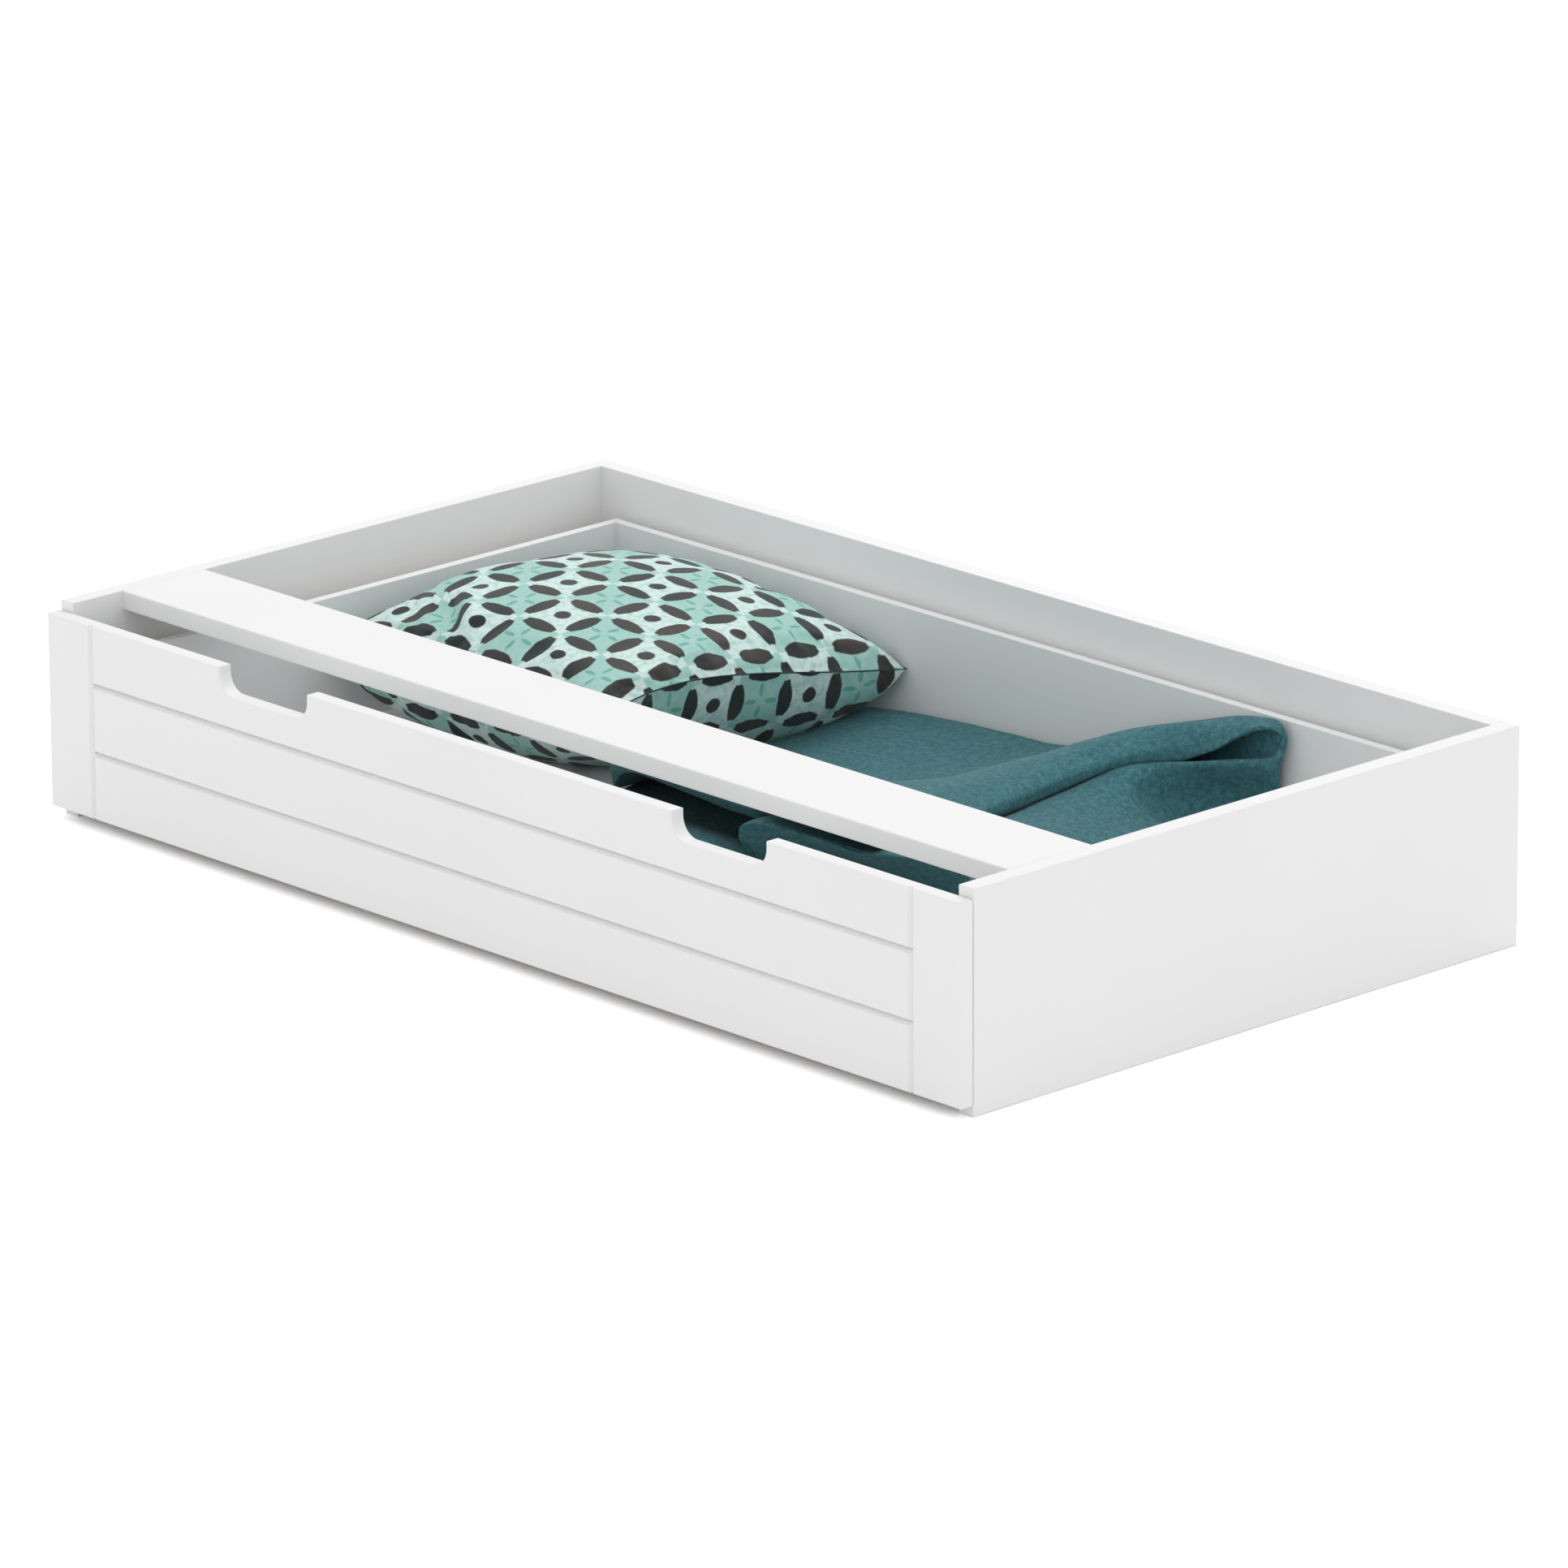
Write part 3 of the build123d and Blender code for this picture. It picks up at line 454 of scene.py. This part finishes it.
def tube(name, path, radius, material, sides=8):  # a closed cord along a ring of points
    count = len(path)
    ahead = np.roll(path, -1, 0) - np.roll(path, 1, 0)
    ahead /= np.linalg.norm(ahead, axis=1, keepdims=True)
    side = np.cross(ahead, (0, 0, 1.0))
    side /= np.linalg.norm(side, axis=1, keepdims=True)
    rise = np.cross(side, ahead)
    angles = np.arange(sides) * 2 * math.pi / sides
    points = (path[:, None] + radius * (np.cos(angles)[None, :, None] * side[:, None]
                                        + np.sin(angles)[None, :, None] * rise[:, None])).reshape(-1, 3)
    faces = [[i * sides + k, i * sides + (k + 1) % sides, (i + 1) % count * sides + (k + 1) % sides,
              (i + 1) % count * sides + k] for i in range(count) for k in range(sides)]
    return meshPiece(name, points, faces, material)


cottonPrint = printedCottonMaterial(printedCotton)
pillow, seamRing = makePillow(pillowShape, cottonPrint)
swell(pillow, seamRing, stuffing, pillowShape["restZ"] * mm)
seamPath = np.array([pillow.data.vertices[int(i)].co for i in seamRing])

# Piping: cotton twill tape folded over the seam. Dark and dull, flecked by the twist of its yarn, drawn coarse
twillTape = {"yarnMm": 4, "radiusMm": 1.2, "stops": [(0.3, "#23403b"), (0.7, "#36574f")]}
twill, twillTree, twillShader = startMaterial("twillTape", Roughness=0.9, IOR=1.45)
twillWhere = addNode(twillTree, "ShaderNodeTexCoord").outputs["Object"]
twillTwist = addNode(twillTree, "ShaderNodeTexNoise", {"Vector": twillWhere, "Scale": 1 / (twillTape["yarnMm"] * mm),
                                                       "Detail": 2.0})
twillTone = addNode(twillTree, "ShaderNodeValToRGB", {"Fac": twillTwist.outputs[0]}, stops=twillTape["stops"])
twillTree.links.new(twillTone.outputs[0], twillShader.inputs["Base Color"])
piping = tube("pillow_seam", seamPath, twillTape["radiusMm"] * mm, twill)
subdivide(pillow)
for piece in (pillow, piping):
    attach(piece, "drawer")
    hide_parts("pillow")
print("pillow made")


# Throw: wool felt, fulled and brushed. Dense and matt, mottled by the fibres, with a soft light edge where it turns
# away
woolFelt = {
    "mottleMm": 9, "fibreMm": 2.6, "fibreShare": 0.45,  # fibres are far finer, drawn coarse so that they show
    "stops": [(0.36, "#345d64"), (0.5, "#43737a"), (0.64, "#578a91")], "napMm": 1.2,
    "thickMm": 6.5, "rippleMm": 1.6, "ripples": 9, "ripplePitchMm": (60, 190),
}


def woolFeltMaterial(look):
    material, tree, shader = startMaterial("brushedWoolFelt", Roughness=0.95, IOR=1.45, Specular_IOR_Level=0.2,
                                           Sheen_Weight=0.1, Sheen_Roughness=0.4)
    where = addNode(tree, "ShaderNodeTexCoord").outputs["Object"]
    mottle = addNode(tree, "ShaderNodeTexNoise", {"Vector": where, "Scale": 1 / (look["mottleMm"] * mm), "Detail": 6.0,
                                                  "Roughness": 0.65})
    fibre = addNode(tree, "ShaderNodeTexNoise", {"Vector": where, "Scale": 1 / (look["fibreMm"] * mm), "Detail": 3.0,
                                                 "Distortion": 1.5})
    mixed = addNode(tree, "ShaderNodeMix", {0: look["fibreShare"], 2: mottle.outputs[0], 3: fibre.outputs[0]})
    tone = addNode(tree, "ShaderNodeValToRGB", {"Fac": mixed.outputs[0]}, stops=look["stops"])
    bump = addNode(tree, "ShaderNodeBump", {"Height": mixed.outputs[0], "Strength": 0.45,
                                            "Distance": look["napMm"] * mm})
    tree.links.new(tone.outputs[0], shader.inputs["Base Color"])
    tree.links.new(bump.outputs[0], shader.inputs["Normal"])
    return material


def throughPoints(rows, count):  # a smooth run through the rows of a net
    rows = np.asarray(rows, float)
    ends = np.concatenate([[2 * rows[0] - rows[1]], rows, [2 * rows[-1] - rows[-2]]])
    place = np.linspace(0, len(rows) - 1, count)
    i = np.minimum(place.astype(int), len(rows) - 2)
    t = (place - i).reshape((-1,) + (1,) * (rows.ndim - 1))
    a, b, c, d = ends[i], ends[i + 1], ends[i + 2], ends[i + 3]
    return 0.5 * (2 * b + (c - a) * t + (2 * a - 5 * b + 4 * c - d) * t ** 2 + (3 * b - a - 3 * c + d) * t ** 3)


# a leaf of the throw from its sections, each a run of (x, z) at its y, or of (x, y, z) where it leaves that y
def leafGrid(leaf):
    ys = list(leaf["sections"])
    count = len(leaf["sections"][ys[0]])
    fronts = list(leaf["front"]) + [ys[0]] * (count - len(leaf["front"]))
    net = np.zeros((len(ys), count, 3))
    for r, y in enumerate(ys):
        share = (y - ys[0]) / (ys[-1] - ys[0])
        for c, (x, *aside, z) in enumerate(leaf["sections"][y]):
            net[r, c] = x, aside[0] if aside else fronts[c] + (ys[-1] - fronts[c]) * share, z
    grid = throughPoints(net, (len(ys) - 1) * leaf["fine"][0] + 1)
    grid = np.swapaxes(throughPoints(np.swapaxes(grid, 0, 1), (count - 1) * leaf["fine"][1] + 1), 0, 1)
    for _ in range(leaf["relax"]):
        inner = (grid[:-2, 1:-1] + grid[2:, 1:-1] + grid[1:-1, :-2] + grid[1:-1, 2:]) / 4
        grid[1:-1, 1:-1] += 0.5 * (inner - grid[1:-1, 1:-1])
    return grid


def clothShell(name, grid, cloth, material, seed):  # a closed sheet of even thickness under the grid
    rng = np.random.default_rng(seed)
    x, y = grid[..., 0], grid[..., 1]
    ripple = np.zeros_like(x)
    for _ in range(cloth["ripples"]):
        turn, pitch = rng.uniform(0, math.pi), rng.uniform(*cloth["ripplePitchMm"])
        along = (x * math.cos(turn) + y * math.sin(turn)) * 2 * math.pi / pitch
        ripple += np.sin(along + rng.uniform(0, 6.3)) / cloth["ripples"]
    normal = np.cross(np.gradient(grid, axis=1), np.gradient(grid, axis=0))
    normal /= np.maximum(np.linalg.norm(normal, axis=-1, keepdims=True), 1e-9)
    outer = grid + normal * (cloth["rippleMm"] * ripple)[..., None]
    inner = outer - normal * cloth["thickMm"]
    rows, cols = grid.shape[:2]
    ids = np.arange(rows * cols).reshape(rows, cols)
    faces = []
    for i in range(rows - 1):
        for j in range(cols - 1):
            quad = [ids[i, j], ids[i, j + 1], ids[i + 1, j + 1], ids[i + 1, j]]
            faces.append([int(q) for q in quad])
            faces.append([int(q) + rows * cols for q in quad[::-1]])
    edge = np.concatenate([ids[0, :-1], ids[:-1, -1], ids[-1, :0:-1], ids[:0:-1, 0]])
    for a, b in zip(edge, np.roll(edge, -1)):
        faces.append([int(b), int(a), int(a) + rows * cols, int(b) + rows * cols])
    points = np.concatenate([outer.reshape(-1, 3), inner.reshape(-1, 3)]) * mm
    return meshPiece(name, points, faces, material)


# Upper leaf: flat from under the pillow, then a foot, a broad band and a lip that turns under. At the back it goes
# round the pocket. Sizes in mm, from the left to the lip
upperLeaf = {
    "front": (-13, -118, -120, -122, -130, -150, -190, -215, -220, -215, -200, -185, -175, -170),
    "fine": (6, 8), "relax": 3, "seed": 3,
    "sections": {
        -192: ((-340, -13, 68), (-205, -92, 142), (-60, -93, 137), (60, -94, 131), (105, -106, 143),
             (140, -128, 169), (190, -190, 199), (260, -215, 207), (325, -220, 209), (380, -215, 207),
             (412, -200, 203), (428, -185, 199), (430, -175, 194), (420, -170, 191)),
        -190: ((-340, -9, 70), (-205, -112, 151), (-60, -113, 147), (60, -114, 142), (103, -124, 152),
             (137, -145, 177), (190, -191, 206), (260, -216, 213), (325, -221, 215), (380, -216, 213),
             (412, -201, 208), (428, -186, 203), (430, -176, 198), (420, -171, 195)),
        -180: ((-340, 0, 71), (-205, -128, 168), (-60, -129, 169), (58, -130, 168), (101, -138, 173),
             (135, -155, 187), (190, -180, 208), (260, -205, 214), (325, -210, 216), (380, -205, 213),
             (412, -190, 208), (428, -176, 202), (430, -167, 196), (420, -162, 192)),
        -95: ((-340, 70), (-205, 148), (-60, 148), (60, 146), (98, 156), (134, 187), (195, 206), (262, 212),
             (325, 213), (376, 208), (409, 201), (422, 193), (419, 181), (403, 167)),
        30: ((-340, 70), (-190, 128), (-10, 130), (84, 132), (112, 146), (158, 172), (215, 194), (275, 203),
             (328, 204), (370, 198), (395, 191), (401, 181), (395, 170), (379, 157)),
        140: ((-340, 72), (-175, 100), (5, 108), (76, 114), (128, 130), (180, 158), (238, 184), (295, 198),
             (332, 199), (360, 192), (376, 184), (377, 174), (372, 163), (360, 154)),
        230: ((-340, 75), (-170, 96), (12, 107), (81, 114), (135, 128), (185, 155), (235, 181), (285, 196),
             (320, 197), (346, 190), (360, 182), (360, 173), (357, 163), (347, 156)),
        310: ((-340, 79), (-170, 100), (16, 110), (86, 117), (142, 129), (190, 154), (238, 179), (285, 197),
             (318, 200), (344, 194), (358, 187), (361, 180), (359, 172), (350, 166)),
        365: ((-340, 84), (-170, 103), (20, 113), (90, 119), (148, 131), (198, 156), (248, 183), (298, 205),
             (333, 210), (362, 205), (378, 199), (382, 191), (380, 183), (372, 177)),
        400: ((-340, 88), (-170, 106), (23, 116), (92, 121), (153, 133), (207, 160), (262, 189), (315, 211),
             (352, 215), (382, 211), (401, 205), (407, 196), (406, 188), (397, 185)),
        425: ((-340, 90), (-170, 107), (25, 118), (94, 122), (156, 135), (213, 163), (272, 193), (330, 216),
             (376, 223), (410, 220), (435, 214), (445, 203), (444, 194), (434, 188)),
        446: ((-340, 92), (-170, 110), (27, 121), (95, 123), (160, 137), (220, 165), (284, 197), (348, 222),
             (402, 236), (440, 450, 240), (466, 448, 237), (481, 446, 231), (489, 444, 224), (491, 442, 218)),
        459: ((-340, 93), (-170, 112), (28, 122), (96, 125), (162, 138), (224, 166), (290, 198), (356, 222),
             (413, 239), (455, 462, 245), (485, 460, 247), (502, 457, 244), (512, 454, 241), (515, 451, 236)),
        469: ((-340, 93), (-170, 112), (29, 123), (96, 126), (164, 139), (227, 167), (294, 198), (362, 222),
             (422, 241), (470, 473, 249), (508, 471, 256), (531, 469, 259), (545, 466, 261), (551, 463, 261)),
        477: ((-340, 93), (-170, 113), (29, 123), (96, 126), (164, 139), (228, 167), (296, 198), (365, 222),
             (427, 241), (479, 482, 252), (522, 479, 261), (548, 477, 265), (563, 474, 266), (568, 470, 264)),
        484: ((-340, 93), (-170, 113), (30, 123), (96, 127), (165, 140), (229, 168), (297, 198), (367, 222),
             (431, 241), (486, 487, 255), (531, 485, 265), (560, 482, 268), (574, 479, 266), (577, 476, 260)),
        488: ((-340, 93), (-170, 113), (30, 124), (97, 127), (165, 140), (229, 168), (298, 198), (368, 222),
             (434, 241), (492, 491, 257), (546, 489, 268), (572, 487, 268), (584, 485, 262), (584, 483, 253)),
        492: ((-340, 93), (-170, 113), (30, 124), (97, 127), (166, 140), (236, 170), (298, 198), (369, 221),
             (436, 242), (500, 494, 259), (560, 493, 269), (579, 492, 267), (588, 490, 258), (587, 488, 246)),
        495: ((-340, 86), (-170, 100), (31, 111), (113, 116), (166, 130), (234, 156), (299, 181), (370, 204),
             (437, 224), (503, 497, 240), (556, 497, 252), (574, 496, 250), (580, 495, 240), (578, 494, 226)),
        498: ((-340, 80), (-170, 90), (31, 98), (113, 102), (166, 108), (230, 116), (299, 124), (370, 130),
             (437, 138), (503, 499, 146), (545, 499, 152), (556, 498, 156), (556, 498, 152), (550, 498, 146)),
    },
}
# Lower leaf: a fold with its nose to the left under the band, a rim beside the crease, then down at the right and
# back along the floor
lowerLeaf = {
    "front": (), "fine": (6, 8), "relax": 3, "seed": 5,
    "sections": {
        -160: ((300, -100, 90), (190, -100, 86), (150, -105, 84), (134, -140, 88), (152, -150, 90), (205, -130, 88),
             (300, -95, 86), (398, -95, 86), (440, -98, 86), (500, -102, 86), (560, -105, 84), (588, -115, 80),
             (596, -130, 76), (584, -140, 66), (450, -150, 64), (200, -190, 64), (40, -208, 88), (-185, -208, 86)),
        -181: ((300, -120, 96), (190, -122, 92), (142, -140, 94), (125, -160, 116), (144, -174, 124),
             (198, -162, 126), (300, -135, 127), (398, -135, 127), (440, -137, 128), (500, -140, 130),
             (560, -140, 128), (592, -148, 116), (603, -160, 94), (586, -160, 66), (450, -165, 64), (200, -185, 64),
             (40, -192, 98), (-185, -192, 97)),
        -190: ((300, -140, 102), (190, -142, 96), (138, -150, 102), (121, -172, 132), (140, -186, 152),
             (190, -184, 160), (300, -172, 161), (394, -172, 160), (436, -173, 166), (500, -176, 178),
             (560, -174, 178), (606, -178, 174), (618, -184, 118), (588, -175, 66), (450, -175, 64),
             (200, -175, 64), (40, -175, 101), (-185, -175, 101)),
        -184: ((300, -150, 104), (190, -152, 98), (138, -155, 104), (121, -176, 138), (143, -189, 163),
             (196, -192, 175), (300, -193, 177), (392, -193, 175), (436, -193, 183), (500, -192, 192),
             (560, -191, 190), (610, -188, 185), (618, -185, 122), (588, -178, 66), (450, -175, 64),
             (200, -165, 64), (40, -160, 98), (-185, -160, 98)),
        -150: ((300, 104), (190, 98), (138, -150, 104), (122, -150, 138), (143, -150, 164), (198, 177), (300, 177),
             (392, 168), (434, 187), (500, 191), (560, 184), (604, 172), (614, 116), (588, 66), (450, 64),
             (200, -140, 64), (40, -135, 95), (-185, -135, 95)),
        -90: ((300, 104), (188, 98), (144, 104), (130, 136), (148, 160), (203, 172), (300, 170), (390, 156),
             (430, 182), (498, 186), (560, 178), (594, 154), (606, 110), (588, 66), (450, 64), (200, 64),
             (20, -92, 82), (-185, -92, 82)),
        30: ((300, 104), (190, 98), (142, 104), (132, 131), (152, 151), (215, 159), (300, 156), (375, 152),
             (411, 171), (484, 173), (550, 161), (590, 138), (604, 106), (586, 66), (450, 64), (200, 64),
             (0, -45, 68), (-329, -2, 64)),
        140: ((300, 102), (190, 98), (150, 104), (142, 122), (165, 138), (225, 148), (290, 150), (357, 152),
             (389, 163), (460, 162), (528, 149), (583, 124), (603, 99), (586, 66), (450, 64), (200, 64), (0, 64),
             (-320, 64)),
        230: ((300, 100), (200, 97), (165, 103), (160, 116), (185, 128), (235, 138), (285, 146), (340, 152),
             (371, 163), (438, 158), (510, 140), (575, 116), (601, 95), (586, 66), (450, 64), (200, 64), (0, 64),
             (-185, 64)),
        310: ((300, 98), (200, 96), (170, 102), (166, 112), (190, 122), (235, 132), (285, 146), (340, 160),
             (367, 171), (418, 160), (485, 130), (560, 109), (597, 91), (586, 66), (450, 64), (200, 64), (0, 64),
             (-185, 64)),
        350: ((300, 98), (200, 96), (170, 101), (168, 111), (190, 121), (235, 132), (290, 147), (357, 357, 172),
             (378, 355, 183), (408, 350, 174), (448, 345, 130), (530, 330, 102), (595, 318, 90), (585, 325, 66),
             (450, 335, 64), (200, 64), (0, 64), (-185, 64)),
        385: ((300, 98), (200, 96), (172, 101), (170, 111), (195, 121), (245, 134), (305, 150), (381, 402, 178),
             (401, 398, 187), (420, 391, 181), (436, 394, 130), (490, 372, 100), (592, 334, 88), (582, 345, 66),
             (450, 365, 64), (200, 64), (0, 64), (-185, 64)),
        405: ((300, 98), (200, 96), (174, 101), (172, 111), (200, 121), (255, 136), (320, 152), (413, 422, 182),
             (429, 417, 190), (444, 409, 185), (450, 420, 132), (480, 404, 100), (592, 350, 88), (580, 362, 66),
             (450, 385, 64), (200, 64), (0, 64), (-185, 64)),
        422: ((300, 98), (200, 96), (176, 101), (174, 111), (205, 121), (265, 138), (340, 154), (446, 437, 186),
             (460, 431, 195), (468, 423, 189), (473, 450, 138), (495, 434, 100), (594, 364, 87), (580, 378, 66),
             (450, 402, 64), (200, 64), (0, 64), (-185, 64)),
        442: ((300, 98), (200, 96), (178, 101), (176, 111), (210, 121), (275, 138), (380, 456, 158),
             (500, 461, 193), (513, 454, 205), (520, 446, 197), (523, 480, 148), (535, 471, 104), (600, 388, 86),
             (582, 400, 66), (450, 425, 64), (200, 64), (0, 64), (-185, 64)),
        460: ((300, 98), (200, 96), (180, 101), (178, 111), (215, 121), (285, 138), (410, 472, 160),
             (536, 477, 198), (546, 469, 209), (554, 461, 200), (555, 492, 156), (562, 487, 108), (606, 412, 86),
             (586, 422, 66), (450, 448, 64), (200, 64), (0, 64), (-185, 64)),
        475: ((300, 98), (200, 96), (182, 101), (180, 111), (220, 121), (295, 138), (425, 482, 162),
             (562, 484, 203), (573, 478, 215), (582, 473, 206), (577, 492, 160), (578, 489, 112), (600, 440, 86),
             (586, 445, 66), (450, 468, 64), (200, 64), (0, 64), (-185, 64)),
        488: ((300, 98), (200, 96), (182, 101), (180, 111), (220, 121), (300, 138), (430, 490, 162),
             (566, 491, 215), (578, 485, 228), (587, 486, 221), (573, 494, 178), (570, 490, 120), (572, 475, 86),
             (566, 472, 66), (450, 484, 64), (200, 64), (0, 64), (-185, 64)),
        500: ((300, 98), (200, 96), (182, 101), (180, 111), (220, 121), (300, 138), (430, 494, 162),
             (572, 494, 231), (583, 489, 244), (588, 493, 237), (573, 497, 185), (568, 495, 120), (560, 490, 86),
             (552, 490, 66), (450, 498, 64), (200, 64), (0, 64), (-185, 64)),
        503: ((300, 98), (200, 96), (182, 101), (180, 111), (220, 121), (300, 138), (430, 495, 162),
             (564, 496, 246), (574, 491, 257), (582, 496, 250), (570, 499, 190), (564, 497, 120), (558, 494, 86),
             (550, 496, 66), (450, 499, 64), (200, 64), (0, 64), (-185, 64)),
    },
}
felt = woolFeltMaterial(woolFelt)
upperThrow = clothShell("throw_upper_leaf", leafGrid(upperLeaf), woolFelt, felt, upperLeaf["seed"])
lowerThrow = clothShell("throw_lower_leaf", leafGrid(lowerLeaf), woolFelt, felt, lowerLeaf["seed"])
for leafPiece, flatSize in ((upperThrow, (0.62, 0.95)), (lowerThrow, (0.68, 1.75))):
    subdivide(leafPiece)
    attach(leafPiece, "drawer")
    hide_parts("blanket")
print("throw made")


# Studio: a floor of matt white paper that keeps the shadow, an even white sky and one wide soft lamp
studio = {
    "floorHalf": 30.0, "floorDropMm": 0.3, "floorTone": "#f5f5f5",
    "floorWhite": 1.58, "floorLift": 0.04,  # what is seen of the floor turns white close to the shadow
    "sky": 0.92, "lampWatts": 80, "lampSide": 5.0, "lampPlace": (-1.5, 4.0, 5.5),
}


def seenRays(tree):  # 1 for the rays that see the studio itself, straight or by way of metal and glass
    ray = addNode(tree, "ShaderNodeLightPath").outputs
    mirrored = addNode(tree, "ShaderNodeMath", {0: ray["Is Glossy Ray"], 1: ray["Is Transmission Ray"]},
                       operation="MAXIMUM")
    seen = addNode(tree, "ShaderNodeMath", {0: ray["Is Camera Ray"], 1: mirrored.outputs[0]}, operation="MAXIMUM")
    return seen.outputs[0]


floorMaterial = bpy.data.materials.new("matteStudioPaper")
floorMaterial.use_nodes = True
floorTree = floorMaterial.node_tree
floorTree.nodes.clear()
seen = seenRays(floorTree)
tone = hexToLinear(studio["floorTone"])[0]
white = addNode(floorTree, "ShaderNodeMapRange", {"Value": seen, "To Min": tone, "To Max": tone * studio["floorWhite"]})
paper = addNode(floorTree, "ShaderNodeBsdfDiffuse", {"Color": white.outputs[0]})
lift = addNode(floorTree, "ShaderNodeMath", {0: seen, 1: studio["floorLift"]}, operation="MULTIPLY")
glow = addNode(floorTree, "ShaderNodeEmission", {"Color": hexToLinear("#ffffff"), "Strength": lift.outputs[0]})
both = addNode(floorTree, "ShaderNodeAddShader", {0: paper.outputs[0], 1: glow.outputs[0]})
addNode(floorTree, "ShaderNodeOutputMaterial", {"Surface": both.outputs[0]})
half = studio["floorHalf"]
floorCorners = [(-half, -half, 0), (half, -half, 0), (half, half, 0), (-half, half, 0)]
floor = meshPiece("studio_floor", floorCorners, [[0, 1, 2, 3]], floorMaterial, smooth=False)
floor.location.z = -studio["floorDropMm"] * mm

world = bpy.data.worlds.new("studioSky")
world.use_nodes = True
scene.world = world
skyTree = world.node_tree
skyTree.nodes.clear()
power = addNode(skyTree, "ShaderNodeMapRange", {"Value": seenRays(skyTree), "To Min": studio["sky"], "To Max": 1.0})
sky = addNode(skyTree, "ShaderNodeBackground", {"Color": hexToLinear("#ffffff"), "Strength": power.outputs[0]})
addNode(skyTree, "ShaderNodeOutputWorld", {"Surface": sky.outputs[0]})

lampData = bpy.data.lights.new("softLamp", "AREA")
lampData.shape = "SQUARE"
lampData.size = studio["lampSide"]
lampData.energy = studio["lampWatts"]
lamp = bpy.data.objects.new("softLamp", lampData)
lamp.location = studio["lampPlace"]
lamp.rotation_mode = "QUATERNION"
lamp.rotation_quaternion = (-Vector(studio["lampPlace"])).to_track_quat("-Z", "Y")
scene.collection.objects.link(lamp)
print("studio lit")
